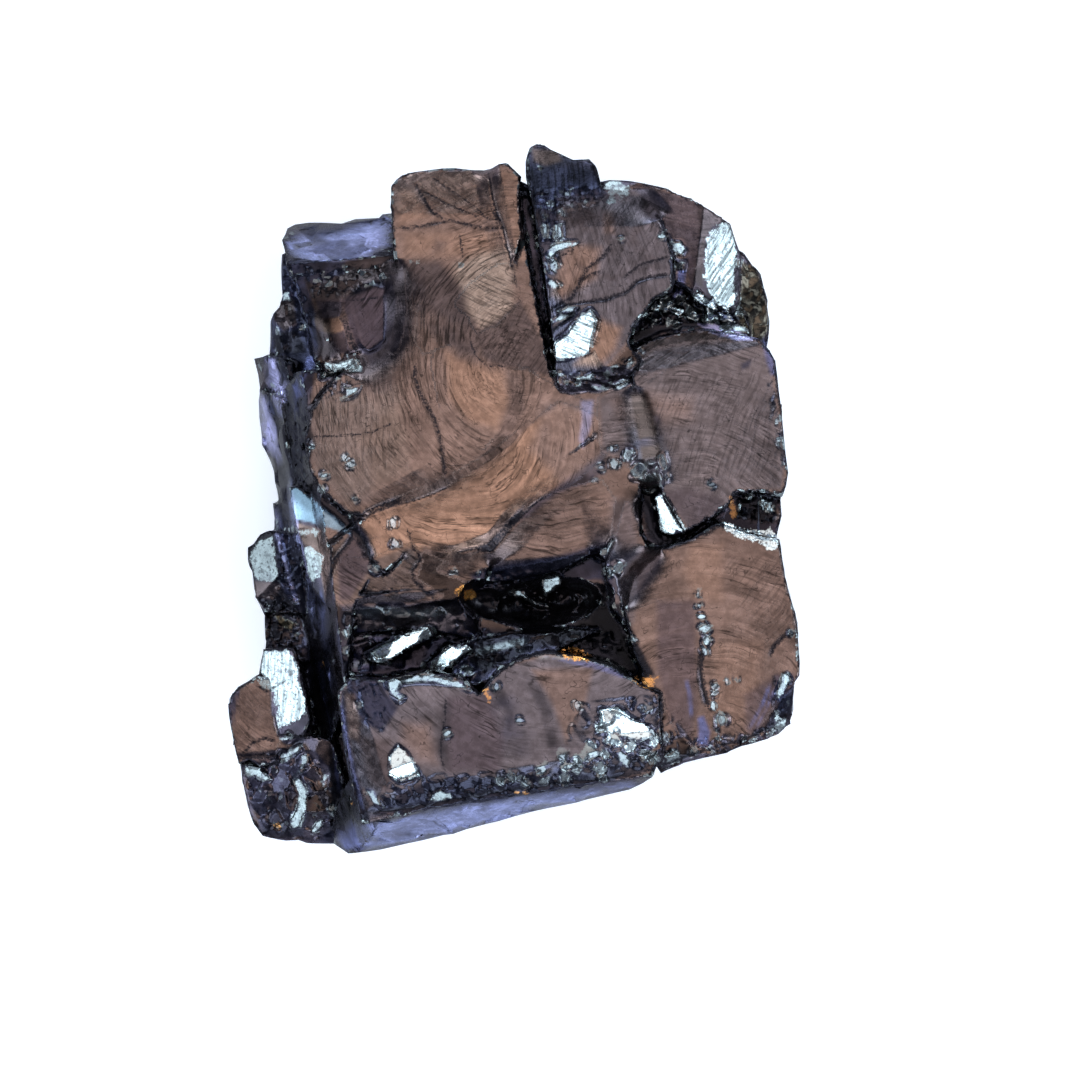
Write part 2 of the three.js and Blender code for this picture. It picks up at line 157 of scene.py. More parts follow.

# ---- facets turned to a light, with a painted pale highlight: (outline, the bearing they fall towards, how pale) ---
# Bearings are degrees anticlockwise from east. A facet without one keeps the solid's own slope.
GLINT_FALL = 28  # degrees that the others fall
GLINTS = [
    ("660,300 668,302 666,312 658,310", 190, 1.8),
    ("672,308 684,310 680,318", 290, 1.8),
    ("696,292 702,296 699,305 694,300", 97, 1.8),
    ("704,304 712,302 716,310 708,314", 5, 1.8),
    ("718,312 728,314 736,322 724,320", 290, 1.8),
    ("648,318 656,320 652,326", 190, 0.9),
    ("664,316 674,322 668,326", 5, 1.0),
    ("688,304 694,310 690,320 684,314", 190, 1.2),
    ("728,324 740,326 748,332 736,332", 97, 1.2),
    ("297,531 309,529 321,531 318,535 305,536", 190, 0.5),
    ("302,547 312,547 325,556 323,568 317,579 310,580 306,570", 190, 0.8),
    ("249,556 253,544 270,537 273,556 277,582 262,582 250,578", None, 0.5),
    ("261,651 289,651 294,662 300,690 304,706 304,716 290,723 277,728 276,710 271,692 262,690 257,680 "
     "258,665", None, 1.3),
    ("277,741 287,734 292,738 285,743", 190, 0.7),
    ("241,765 247,763 258,771 269,781 262,784 252,779 243,777", 190, 0.8),
    ("277,757 287,751 299,746 297,753 286,762 278,765", 190, 0.7),
    ("299,757 306,757 306,766 300,768", 190, 0.6),
    ("291,783 297,778 303,786 306,798 303,814 299,829 291,833 287,826 294,811 297,797", 190, 0.8),
    ("309,834 314,824 321,820 319,831 312,837", 190, 0.8),
    ("319,783 325,776 328,776 321,787", 190, 0.8),
    ("603,184 611,184 618,181 628,187 630,198 618,200 607,204", None, 0.8),
    ("707,240 712,230 722,224 731,222 736,250 733,280 735,306 725,309 711,298 703,276 705,260", None, 1.3),
    ("671,243 680,243 685,251 681,257 673,252", 97, 0.9),
    ("672,262 684,264 683,272 674,270", 190, 0.6),
    ("590,311 582,316 574,325 567,335 556,342 551,350 556,361 569,360 581,358 589,353 593,338 597,322",
     190, 1.4),
    ("548,322 560,318 573,312 574,316 562,323 549,326", 290, 0.8),
    ("557,313 568,308 577,309 571,314", 290, 0.7),
    ("546,284 552,281 561,287 558,289 549,288", 190, 0.7),
    ("548,262 556,259 560,267 555,275 549,272", 190, 0.6),
    ("547,257 552,247 560,243 578,243 570,248 557,254 550,262", 97, 0.8),
    ("556,226 562,225 563,238 557,244 551,240", 190, 0.6),
    ("542,228 548,224 549,238 543,240", 190, 0.5),
    ("573,378 585,377 593,374 590,380 578,381", 290, 0.8),
    ("556,373 562,374 567,377 558,378", 290, 0.6),
    ("592,388 604,386 608,389 597,391", 290, 0.6),
    ("614,384 622,378 629,381 625,387 616,389", 290, 0.5),
    ("622,366 630,361 634,364 627,371", 290, 0.4),
    ("655,500 661,496 666,503 673,512 680,520 687,529 680,530 668,533 660,531 657,518", None, 1.6),
    ("715,522 730,524 745,529 758,531 771,529 776,536 775,551 766,548 755,542 740,538 728,532", None, 1.9),
    ("780,673 786,672 790,680 783,686 777,697 774,692 777,682", 5, 0.9),
    ("771,717 775,711 785,720 782,728 774,725", 5, 0.8),
    ("541,580 550,574 560,576 561,585 552,591 546,600 543,590", 190, 0.6),
    ("510,586 520,591 531,600 550,607 540,607 522,598 508,592", 190, 0.5),
    ("369,653 384,645 400,635 414,631 428,627 435,636 420,642 405,650 390,659 375,659", 190, 1.8),
    ("427,669 438,656 448,645 459,648 468,644 471,650 460,658 448,668 436,671", 190, 1.9),
    ("388,680 395,675 410,673 425,671 440,674 452,677 464,682 472,689 455,685 438,681 420,680 402,682 "
     "398,690 407,696 401,700 393,693", 97, 0.7),
    ("596,557 602,549 610,539 613,541 605,553 599,560", 190, 0.5),
    ("600,708 616,706 632,716 648,724 652,734 636,738 618,732 602,724", 97, 1.9),
    ("577,753 584,742 592,744 599,752 588,758", 290, 0.8),
    ("391,770 394,752 400,744 408,750 416,761 421,772 412,776 402,779", 290, 1.7),
    ("429,793 440,788 451,790 453,794 440,798", 290, 0.7),
    ("368,788 375,788 380,795 385,804 375,799", 190, 0.6),
    ("614,749 620,747 627,756 629,767 622,762", 290, 0.6),
    ("321,334 327,341 324,344 319,337", 190, 0.8),
    ("321,366 332,363 345,361 359,358 360,367 350,370 340,372 330,376 322,378", 190, 1.1),
    ("344,387 352,388 362,386 358,393 350,398 341,400 348,394", 290, 0.8),
    ("282,292 287,290 288,298 282,298", 190, 0.6),
    ("343,629 349,629 350,636 345,637", 190, 0.7),
]

# ---- small round chips turned to a light, with a painted pale highlight: (x, y, radius in squares, how pale) ---
BEADS = (
    "628,455,6,0.6 641,471,9,0.7 651,484,9,0.7 658,462,7,0.4 615,465,5,0.4 601,468,5,0.3 595,480,4,0.3 "
    "664,478,5,0.3 613,450,4,0.3 619,568,6,0.8 608,572,5,0.6 696,594,4,0.5 698,605,4,0.7 700,616,4,0.8 "
    "703,628,5,0.9 705,640,5,0.9 703,650,4,0.6 713,684,4,0.6 713,692,4,0.6 711,704,4,0.8 720,718,6,0.9 "
    "715,728,3,0.6 716,737,3,0.6 725,680,3,0.6 734,678,3,0.6 662,238,4,0.8 620,241,3,0.7 418,264,2,0.8 "
    "412,264,2,0.6 462,266,2,0.8 300,326,3,0.7 274,329,3,0.6 283,443,4,0.7 312,448,4,0.8 325,476,4,0.7 "
    "322,489,5,0.9 345,458,4,0.4 351,465,4,0.5 356,500,3,0.4 394,523,5,0.4 396,543,5,0.3 376,567,5,0.3 "
    "454,572,4,0.4 481,572,3,0.4 347,651,5,0.4 469,670,5,0.6 449,730,5,0.5 500,777,5,0.5 512,773,5,0.5 "
    "526,779,5,0.5 541,767,6,0.6 546,778,4,0.5 565,777,5,0.6 575,764,5,0.6 600,766,6,0.7 602,776,5,0.5 "
    "652,755,6,0.5 656,770,6,0.6 671,755,6,0.6 664,735,6,0.4 691,749,4,0.5 742,738,3,0.5 752,736,4,0.8 "
    "770,732,3,0.6 777,732,3,0.5 631,639,5,0.5 562,751,6,0.5 578,705,5,0.3 647,706,6,0.4 748,495,4,0.7 "
    "764,504,4,0.6 770,508,4,0.7 790,632,3,0.8 711,485,4,0.4 778,439,3,0.5 640,352,3,0.3 739,264,4,0.6 "
    "740,312,5,0.4 332,659,3,0.4 326,702,4,0.4 320,664,3,0.3 331,811,4,0.5 347,797,4,0.4 398,814,5,0.4 "
    "497,685,4,0.3 520,718,4,0.3 340,738,3,0.5 362,703,4,0.4 550,207,3,0.5 545,220,3,0.4 606,714,7,1.6 "
    "652,736,6,1.5 612,736,7,1.5 600,726,5,1.2 630,744,6,1.4 590,742,6,1.2 578,756,6,1.0 566,764,5,1.0 "
    "644,752,5,0.9 604,752,5,0.9 666,300,5,1.2 680,299,4,1.4 694,317,5,1.3 710,317,5,1.2 654,306,4,1.3 "
    "726,328,5,1.2 676,326,4,1.1 562,213,3,0.4 571,209,2,0.6 571,191,2,0.5 540,170,2,0.5 585,203,2,0.4"
)

# ---- painted glints of gold: (outline, how strong) --------------------------------------
GOLDS = [
    ("457,592 463,586 471,588 478,594 470,599 459,599", 1.0),
    ("562,651 570,648 580,651 592,657 580,659 565,656", 1.0),
    ("632,679 644,676 656,676 649,685 638,685", 0.6),
    ("483,685 487,685 492,695 489,699", 0.5),
    ("728,497 733,500 737,515 733,518 729,508", 0.25),
    ("350,803 355,801 354,811 350,810", 0.5),
    ("273,828 278,827 276,833", 0.4),
    ("515,789 527,787 533,791 520,793", 0.35),
    ("322,662 326,664 325,668 320,666", 0.3),
]

# ---- patches of another colour: (colour, strength, soft edge in squares, outline) --------
# Most black and navy patches are painted shade in clefts, holes, hollows and on dark sides, the pocket's
# among them; lilac, lavender, mauve and frost ones are painted reflections on steep strips and facets; warm
# and cream ones painted sheen; the lit ones painted shade that evens out a lamp's flash.
POCKET = "462,602 478,590 520,581 570,577 604,585 612,600 607,618 570,627 520,623 480,616"
PATCHES = [
    (BLACK, 0.85, 4, "286,256 345,262 392,246 399,262 399,280 345,300 315,302 300,275"),
    (NAVY, 0.90, 4, "264,262 296,262 318,354 306,440 303,482 290,482 280,440 266,400 248,396 248,350 "
     "268,350"),
    (BLACK, 0.88, 4, "252,400 284,400 292,470 289,487 300,520 312,560 322,600 334,640 338,700 352,780 "
     "362,820 334,828 326,740 306,650 294,616 240,600 240,536 268,525 266,450"),
    (BLACK, 0.90, 4, "628,345 650,300 672,288 700,286 722,302 745,316 757,330 735,343 697,326 660,334 "
     "640,347"),
    (BLACK, 0.92, 4, "560,630 600,640 618,615 634,640 652,672 640,674 612,664 585,658 556,648"),
    (NAVY, 0.85, 6, "470,574 500,566 560,556 606,542 622,560 620,600 604,580 545,580 478,590"),
    (NAVY, 0.60, 5, "772,674 792,672 790,714 772,716"),
    (SLATE, 0.60, 8, "614,560 630,560 634,620 622,640 612,610"),
    (BLACK, 0.85, 5, "530,188 600,182 604,200 560,206 556,240 538,246 526,210"),
    (CREAM, 0.75, 14, "455,268 480,252 505,250 512,275 512,310 495,330 482,330 462,312"),
    (WARM, 0.85, 12, "446,352 476,360 502,368 508,400 498,430 470,422 450,398"),
    (WARM, 0.55, 12, "400,190 412,190 430,218 400,226"),
    (WARM, 0.50, 14, "405,235 500,232 500,250 470,258 405,256"),
    (WARM, 0.25, 9, "414,183 440,175 480,172 492,180 495,200 500,222 470,220 446,218 432,206"),
    (UMBER, 0.80, 7, "476,332 500,318 520,300 545,345 555,378 530,372 500,366 482,356"),
    (UMBER, 0.90, 12, "405,262 440,262 465,290 470,325 440,320 420,300 402,285"),
    (UMBER, 0.55, 10, "436,240 447,243 444,252 432,254"),
    (TAUPE, 0.35, 16, "300,398 360,372 392,372 400,400 360,440 318,470 303,440"),
    (TAUPE, 0.30, 10, "318,470 350,440 372,450 372,505 340,500"),
    (UMBER, 0.90, 4, "300,262 340,262 396,262 398,276 360,284 343,300 318,300 310,280"),
    (NAVY, 0.80, 4, "296,262 345,260 345,274 312,284 300,275"),
    (PLUM, 0.90, 4, "315,300 343,300 343,313 320,314"),
    (WARM, 0.85, 2, "320,315 330,314 343,312 346,330 335,333 320,330"),
    (PLUM, 0.90, 3, "322,336 346,330 352,350 362,360 330,356 320,350"),
    (NAVY, 0.95, 3, "281,262 298,262 312,300 320,340 318,354 296,352 294,320 290,290 281,285"),
    (UMBER, 0.90, 4, "274,300 292,298 295,322 282,330 272,318"),
    (BLACK, 0.90, 4, "270,332 296,328 306,352 272,352"),
    (UMBER, 0.90, 3, "250,356 266,356 262,390 256,392"),
    (UMBER, 0.80, 4, "272,405 290,395 296,440 282,440"),
    (BLACK, 0.85, 5, "280,360 300,362 292,400 284,395"),
    (BLACK, 0.92, 4, "287,400 306,396 314,436 310,486 292,486 284,440"),
    (BLACK, 0.90, 4, "272,400 288,392 296,440 302,486 284,486 276,440"),
    (LAVENDER, 0.80, 3, "306,356 316,356 308,374 300,392 293,406 292,396 299,378"),
    (MAUVE, 1.00, 2, "266,356 274,356 278,375 284,400 276,404 268,378"),
    (MAUVE, 1.00, 2, "252,396 262,396 270,420 276,446 270,450 260,442 255,425"),
    (NAVY, 0.90, 2, "262,392 268,392 276,412 270,412"),
    (LILAC, 1.00, 3, "286,232 310,236 340,232 378,216 390,236 374,246 355,259 335,262 310,260 294,254 "
     "287,244"),
    (NAVY, 0.85, 4, "300,222 340,220 352,214 372,216 345,226 325,233 300,234"),
    (NAVY, 0.75, 2, "312,239 330,239 350,234 340,240 320,243"),
    (LILAC, 0.90, 2, "386,188 391,190 390,214 384,230 384,212"),
    (NAVY, 0.85, 4, "526,150 548,142 570,158 592,164 604,200 528,212"),
    (BROWN, 0.75, 5, "532,150 556,152 562,162 545,168 534,162"),
    (NAVY, 0.75, 8, "528,166 560,168 598,172 602,198 570,204 535,214 530,190"),
    (NAVY, 0.55, 8, "538,206 556,206 560,240 548,252 548,300 546,340 540,300"),
    (WARM, 0.60, 12, "570,245 600,250 595,280 560,300 552,296 560,262"),
    (WARM, 0.85, 12, "596,320 620,330 615,350 598,368 575,366 592,345"),
    (WARM, 0.35, 8, "603,212 612,212 614,235 604,235"),
    (UMBER, 0.55, 6, "640,345 680,334 720,338 720,346 680,352 655,368 640,372"),
    (PLUM, 0.90, 6, "686,258 704,258 704,278 710,298 692,290 686,276"),
    (OLIVE, 0.75, 5, "742,262 756,268 766,300 770,330 762,340 745,336 738,320 740,290"),
    (MAUVE, 1.00, 2, "697,324 715,325 745,334 757,341 735,341 712,335"),
    (LAVENDER, 0.95, 2, "677,272 685,272 684,288 678,302 672,300 676,286"),
    (LAVENDER, 0.80, 5, "764,340 771,350 774,375 770,376 765,362 762,350"),
    (WARM, 0.30, 20, "610,400 650,395 690,400 690,420 630,425"),
    (NAVY, 0.45, 6, "640,418 656,416 658,424 644,426"),
    (NAVY, 0.75, 3, "740,365 750,360 748,368 740,371"),
    (PLUM, 0.55, 8, "662,492 690,488 722,500 720,514 690,530 676,515"),
    (BLACK, 0.95, 4, "736,498 746,496 778,498 776,524 745,518 737,515"),
    (BLACK, 0.85, 5, "642,492 656,494 656,530 680,536 700,528 718,518 690,542 660,550 646,538 642,515"),
    (NAVY, 0.70, 8, "604,452 575,472 548,490 524,508 512,524 530,512 560,492 590,482 608,468"),
    (TAUPE, 0.50, 16, "545,405 612,395 612,470 560,482 530,450"),
    (LILAC, 0.50, 5, "581,402 593,401 591,425 583,448 579,440 582,420"),
    (SLATE, 0.65, 14, "612,500 636,500 640,560 615,580 604,560"),
    (WARM, 0.40, 14, "690,545 720,545 720,600 695,600 682,570"),
    (WARM, 0.35, 16, "710,640 760,640 755,690 740,720 712,715"),
    (PLUM, 0.65, 10, "655,600 694,600 696,700 690,740 668,720 656,670"),
    (LAVENDER, 0.95, 4, "696,716 702,714 708,730 706,744 696,742 697,728"),
    (NAVY, 0.90, 3, "776,690 784,690 788,700 784,712 776,712"),
    (NAVY, 0.85, 9, "340,606 400,604 460,600 470,628 440,640 400,642 370,660 345,672 338,640"),
    (SLATE, 0.50, 8, "350,618 400,622 430,618 400,632 370,646 352,650"),
    (NAVY, 0.90, 8, "430,640 470,630 520,632 545,648 500,664 470,676 420,666"),
    (BLACK, 0.95, 4, "462,602 480,594 510,606 560,612 606,600 614,625 650,668 640,672 600,650 560,632 "
     "520,626 480,618"),
    (LAVENDER, 0.65, 3, "544,654 560,658 592,660 616,668 634,677 622,676 598,668 570,662"),
    (NAVY, 0.90, 5, "345,672 392,676 388,690 400,705 385,730 365,720 352,700"),
    (UMBER, 0.75, 10, "362,735 395,735 392,790 370,782"),
    (BROWN, 0.75, 5, "344,690 356,692 362,716 362,740 352,735"),
    (WARM, 0.35, 18, "405,722 430,722 438,760 420,758 404,740"),
    (PLUM, 0.75, 14, "448,696 490,690 505,740 500,770 450,768"),
    (BROWN, 0.80, 8, "532,668 592,666 585,700 566,740 552,700"),
    (NAVY, 0.85, 7, "430,778 500,776 560,782 640,768 560,790 450,806 376,812 392,796"),
    (NAVY, 0.80, 5, "345,672 352,740 368,800 372,818 360,816 350,780 342,720"),
    (LILAC, 0.80, 3, "362,828 375,820 402,816 505,799 560,792 642,780 600,794 560,809 520,828 450,840 "
     "372,852 360,845"),
    (NAVY, 0.90, 2, "403,822 410,820 414,832 408,840 401,838"),
    (LAVENDER, 0.90, 4, "336,836 362,828 362,850 340,850"),
    (BLACK, 0.80, 5, "256,592 282,592 296,616 300,648 262,648 264,618"),
    (OLIVE, 0.90, 2, "270,612 280,618 292,624 288,631 278,626"),
    (FROST, 0.85, 2, "289,487 297,488 306,494 318,503 330,512 344,524 352,533 345,533 328,527 310,522 "
     "291,518"),
    (BROWN, 0.80, 3, "292,522 320,529 345,537 346,546 332,560 326,600 318,560 300,545"),
    (PLUM, 0.75, 5, "338,556 352,532 364,545 372,566 350,600 340,600"),
    (UMBER, 0.85, 3, "250,583 278,584 276,592 254,592"),
    (NAVY, 0.60, 6, "245,762 300,752 312,800 300,840 262,838 246,800"),
    (NAVY, 0.90, 4, "480,594 560,588 600,576 545,586 500,584 478,588"),
    (BLACK, 0.85, 4, "476,640 520,628 580,624 612,628 600,640 570,644 540,648 510,660 484,672 470,660"),
    (BLACK, 0.90, 4, POCKET),
    (LIT_BROWN, 0.95, 8, "632,394 646,392 658,458 645,462"),
    (LIT_PLUM, 0.75, 6, "384,268 406,266 408,340 394,362 362,376 356,366 382,354 388,330"),
    (LIT_BROWN, 0.85, 4, "314,314 329,313 329,333 316,333"),
    (LIT_PLUM, 0.90, 4, "312,333 330,333 332,360 314,362"),
    (BLACK, 0.85, 5, "328,764 356,770 372,812 370,824 350,832 328,836"),
    (UMBER, 0.70, 6, "444,322 458,306 476,320 482,346 476,356 444,343"),
    (UMBER, 0.40, 7, "508,374 522,374 526,410 514,434 494,462 482,458 502,430 510,402"),
    (SLATE, 0.30, 6, POCKET),
    (MAUVE, 0.30, 4, "294,240 350,236 384,222 388,238 360,258 312,258"),
    (BLACK, 0.92, 4, "600,600 622,604 636,640 654,674 640,678 606,642 590,620"),
    (SLATE, 0.80, 10, "345,606 400,606 458,604 470,626 430,634 380,630 345,642"),
    (WARM, 0.35, 5, "498,168 518,176 526,262 516,262 506,230 499,200"),
    (UMBER, 0.92, 4, "696,204 716,206 724,222 712,228 706,240 703,262 702,290 692,280 694,262 700,240"),
    (UMBER, 0.60, 12, "560,198 650,196 664,212 640,222 600,218 580,232 560,222"),
    (UMBER, 0.85, 4, "245,582 268,582 279,584 272,600 254,598"),
    (NAVY, 0.80, 4, "272,534 290,522 306,548 304,580 288,600 278,584"),
    (NAVY, 0.42, 8, "742,694 776,672 792,700 775,724 745,736"),
    (CREAM, 0.22, 20, "318,400 400,390 410,470 350,505 318,470"),
    (BLACK, 0.60, 6, "376,802 430,778 500,771 560,769 640,753 690,744 690,752 600,784 500,798 400,812"),
]

# ---- shattered ground: (outline, chip size, chip height, how much it sparkles, in painted glints and painted shade between chips) ---
SHATTERED = [
    ("655,298 672,292 690,290 712,300 738,312 750,328 700,325 660,326 636,336 642,322", 0.40, 0.22, 1.0),
    ("300,262 398,262 398,280 345,298 312,300", 0.40, 0.10, 0.6),
    ("240,762 302,742 330,770 334,844 270,842 246,810", 0.70, 0.22, 0.4),
    ("254,592 300,592 304,650 262,650", 0.35, 0.18, 0.5),
    ("340,604 470,600 500,640 480,690 420,668 346,676", 0.80, 0.18, 0.2),
    ("390,770 560,764 656,742 690,750 560,786 376,810", 0.55, 0.20, 0.3),
    ("570,700 656,690 690,740 640,768 560,770", 0.70, 0.20, 0.2),
    ("740,262 758,262 772,330 760,342 740,330", 0.45, 0.16, 0.3),
    ("676,735 745,730 790,716 780,735 700,758", 0.40, 0.14, 0.6),
    ("556,372 600,370 634,352 634,378 600,396 560,396", 0.45, 0.14, 0.6),
    ("765,340 778,400 786,470 776,470 764,400", 0.45, 0.08, 0.6),
    ("268,262 300,262 318,350 270,352", 0.80, 0.14, 0.3),
    ("530,190 600,186 602,206 562,216 562,246 540,246", 0.25, 0.06, 0.5),
    ("316,354 364,354 364,404 316,404", 0.30, 0.07, 0.3),
    ("736,490 782,490 778,528 736,520", 0.35, 0.12, 1.0),
    ("770,672 792,672 790,716 770,728", 0.35, 0.12, 0.4),
    ("478,570 560,570 570,600 500,610 470,600", 0.45, 0.12, 0.2),
    ("350,672 392,678 388,700 400,712 385,738 362,722", 0.50, 0.08, 0.35),
    ("272,534 290,522 304,535 304,580 284,604 262,600 276,580", 0.40, 0.18, 0.2),
    ("286,404 306,396 314,436 310,486 290,486", 0.50, 0.16, 0.35),
    ("520,580 606,582 612,604 590,622 520,620", 0.60, 0.25, 0.35),
    ("470,640 540,630 612,628 640,660 600,652 540,650 500,668 476,674", 0.50, 0.12, 0.3),
]

# ---- thin lines of another colour: (colour, strength, half width in squares, line) --------
# The lavender, lilac, mauve and ice streaks are painted reflections on slivers and ridges; most black, navy
# and umber ones are painted shade along steps, folds and edges.
STREAKS = [
    (MAUVE, 0.9, 1.6, "270,503 274,530 284,565 294,600 298,614"),
    (LAVENDER, 0.9, 1.2, "276,505 281,540 291,580"),
    (LILAC, 0.9, 2.0, "287,470 292,520 303,560 309,600 316,640"),
    (MAUVE, 0.7, 1.2, "291,480 297,530 308,578 312,612"),
    (LAVENDER, 0.8, 1.4, "312,640 321,690 331,740 339,800"),
    (LAVENDER, 0.9, 1.6, "342,692 348,730 356,770 367,812"),
    (LAVENDER, 0.8, 2.0, "684,676 688,692 690,718"),
    (LAVENDER, 0.8, 1.8, "769,680 760,704 746,729"),
    (LAVENDER, 0.6, 1.4, "774,684 764,708 752,730"),
    (NAVY, 0.55, 4.0, "612,452 640,444 664,438"),
    (NAVY, 0.50, 3.0, "476,574 520,566 560,557 600,545"),
    (BLACK, 0.7, 2.0, "393,192 391,225 396,258"),
    (UMBER, 0.90, 9.0, "404,262 418,300 438,330 462,353 490,363 512,374"),
    (NAVY, 0.6, 3.0, "786,360 786,440 782,470"),
    (UMBER, 0.45, 4.0, "420,497 450,484 480,468 505,450 530,424"),
    (BLACK, 0.75, 5.0, "448,692 447,716 445,732 444,750 448,772"),
    (BLACK, 0.75, 5.5, "523,670 539,694 547,712 551,734 559,762"),
    (BLACK, 0.65, 5.5, "492,680 505,702 514,728"),
    (NAVY, 0.45, 12.0, "498,690 512,720 518,760"),
    (BLACK, 0.90, 3.0, "316,556 323,605 330,652 336,700"),
    (BLACK, 0.90, 2.5, "326,576 332,616 336,660"),
    (LAVENDER, 0.80, 1.3, "320,585 326,640 331,700"),
    (ICE, 0.50, 2.0, "648,314 680,303 712,311 744,332"),
    (ICE, 0.45, 3.0, "348,668 370,660 394,664"),
    (ICE, 0.40, 3.0, "470,654 500,646 530,640"),
    (UMBER, 0.60, 3.0, "612,212 606,240 616,262"),
    (UMBER, 0.60, 4.0, "640,216 632,244 652,262 648,280"),
    (UMBER, 0.50, 3.0, "574,262 590,276 612,280 632,276"),
    (UMBER, 0.50, 3.0, "576,226 596,236 592,256"),
    (ICE, 0.50, 3.5, "345,613 385,610 420,614 458,610"),
    (ICE, 0.25, 2.0, "350,612 380,618 420,612 452,606"),
    (LAVENDER, 0.60, 3.0, "345,626 380,640 430,642"),
    (LAVENDER, 0.50, 2.5, "348,662 372,668 400,666 424,676"),
    (ICE, 0.55, 2.2, "528,655 560,655 592,658 616,666 636,677"),
]

# ---- ground scored by fine lines ---------------------------------------------------------
# (their bearing or the point that they run round, strength, soft edge in squares, outline)
SCORED = [
    (153, 0.70, 10, "440,276 462,268 500,262 517,270 517,305 498,328 478,334 456,322"),
    (140, 0.50, 8, "414,183 440,175 480,172 492,180 497,226 446,220 432,206"),
    (60, 0.55, 8, "480,334 500,318 524,300 546,345 556,380 530,374 500,366"),
    (100, 0.60, 14, "400,280 440,330 450,380 430,420 400,430 392,380 398,320"),
    (108, 0.45, 10, "540,205 600,200 660,205 684,250 670,290 640,310 590,300 552,300"),
    (35, 0.85, 6, "630,372 638,346 680,331 724,338 712,350 672,366 640,388"),
    (158, 1.0, 3, "590,311 574,325 556,342 551,350 556,361 581,358 598,345 602,322"),
    (62, 0.90, 4, "703,240 722,222 738,222 738,308 711,300"),
    (88, 0.60, 3, "261,650 292,650 306,716 280,730 262,700"),
    (95, 0.80, 6, "526,160 600,165 604,200 562,208 556,245 536,246"),
    (70, 0.45, 20, "650,380 760,370 775,470 690,490 650,430"),
    (92, 0.50, 10, "318,375 392,372 392,470 330,480 310,440"),
    (50, 0.35, 6, "720,555 776,556 794,640 765,650 735,600"),
    (96, 0.50, 4, "302,545 326,552 322,580 306,580"),
    ((533, 345), 0.95, 8, "512,246 517,262 492,270 470,286 456,305 470,318 478,340 452,346 424,356 412,340 "
     "416,310 428,284 448,262 476,250"),
    ((510, 372), 0.70, 6, "432,345 452,340 452,372 458,398 472,420 494,436 488,454 466,444 446,424 436,396 "
     "430,368"),
    ((448, 380), 0.70, 7, "510,372 528,366 540,380 544,402 530,432 500,460 470,476 446,480 448,466 476,458 "
     "498,438 510,410"),
]

# ---- outlines inside which the solid's steps are worn smooth -----------------------------
WORN = [
    "474,164 496,164 504,196 511,236 515,262 517,300 504,298 494,262 484,220",
    "552,196 652,192 672,214 640,226 552,228",
    "308,304 350,304 360,344 372,358 360,374 328,368 310,350",
    "384,262 424,262 424,372 400,392 372,392 352,374 368,356 388,340",
    "394,540 408,530 425,540 450,548 480,538 500,545 470,570 440,576 408,560",
    "364,500 420,470 472,438 512,400 535,380 556,392 575,402 560,430 524,470 470,505 420,522 384,536 "
     "366,528",
    "440,560 490,534 508,508 530,490 560,470 604,448 612,478 575,500 545,520 524,545 500,560 470,572 "
     "446,574",
    "584,404 606,392 664,386 700,392 708,470 668,482 648,488 622,480 600,450",
    "580,478 620,478 640,500 634,556 606,560 588,552 584,510",
    "612,556 640,546 668,552 672,580 662,640 664,676 648,672 636,640 624,600",
]
# ---- repeatable noise -------------------------------------------------------------------


def hashed(ix, iy, iz, seed):
    """A repeatable value from 0 to 1 at each whole-number point."""
    h = (ix * 374761393 + iy * 668265263 + iz * 1440662683 + seed * 1274126177) & 0xFFFFFFFF
    h = ((h ^ (h >> 13)) * 1103515245) & 0xFFFFFFFF
    h = ((h ^ (h >> 15)) * 2246822519) & 0xFFFFFFFF
    return (h ^ (h >> 16)) / 0xFFFFFFFF


def value_noise(p, seed):
    """Smooth noise from -1 to 1 with one cell to the unit."""
    base = np.floor(p).astype(np.int64)
    f = p - base
    f = f * f * (3 - 2 * f)
    total = np.zeros(len(p))
    for dx, dy, dz in np.ndindex(2, 2, 2):
        weight = f[:, 0] if dx else 1 - f[:, 0]
        weight = weight * (f[:, 1] if dy else 1 - f[:, 1])
        weight = weight * (f[:, 2] if dz else 1 - f[:, 2])
        total += weight * hashed(base[:, 0] + dx, base[:, 1] + dy, base[:, 2] + dz, seed)
    return 2 * total - 1


def cloud(p, size, seed, octaves=3):
    """Noise of several sizes from about -1 to 1; size is its largest."""
    total = np.zeros(len(p))
    for octave in range(octaves):
        total += value_noise(p / size * 2**octave, seed + octave) / 2**octave
    return total / 1.5


def splinters(p, size, seed):
    """Flat chips: every cell of a broken grid has a tilt and a lift of its own."""
    q = p / size
    base = np.floor(q).astype(np.int64)
    nearest = np.full(len(q), 9.0)
    value = np.zeros(len(q))
    for step in np.ndindex(3, 3, 3):
        cell = base + np.array(step) - 1
        rolls = [hashed(*cell.T, seed + k) for k in range(7)]
        away = q - cell - np.stack(rolls[:3], 1)
        distance = (away**2).sum(1)
        tilted = (away * (np.stack(rolls[3:6], 1) - 0.5)).sum(1) * 1.8 + (rolls[6] - 0.5) * 0.5
        value = np.where(distance < nearest, tilted, value)
        nearest = np.minimum(nearest, distance)
    return value


def ramp(value, low, high):
    """0 at low, 1 at high, smooth between them."""
    t = np.clip((value - low) / (high - low), 0, 1)
    return t * t * (3 - 2 * t)


# ---- lines and outlines on the plan -----------------------------------------------------


def at(text):
    """The points written as "x,y x,y", each with any further values that it has."""
    return [tuple(float(value) for value in point.split(",")) for point in text.split()]


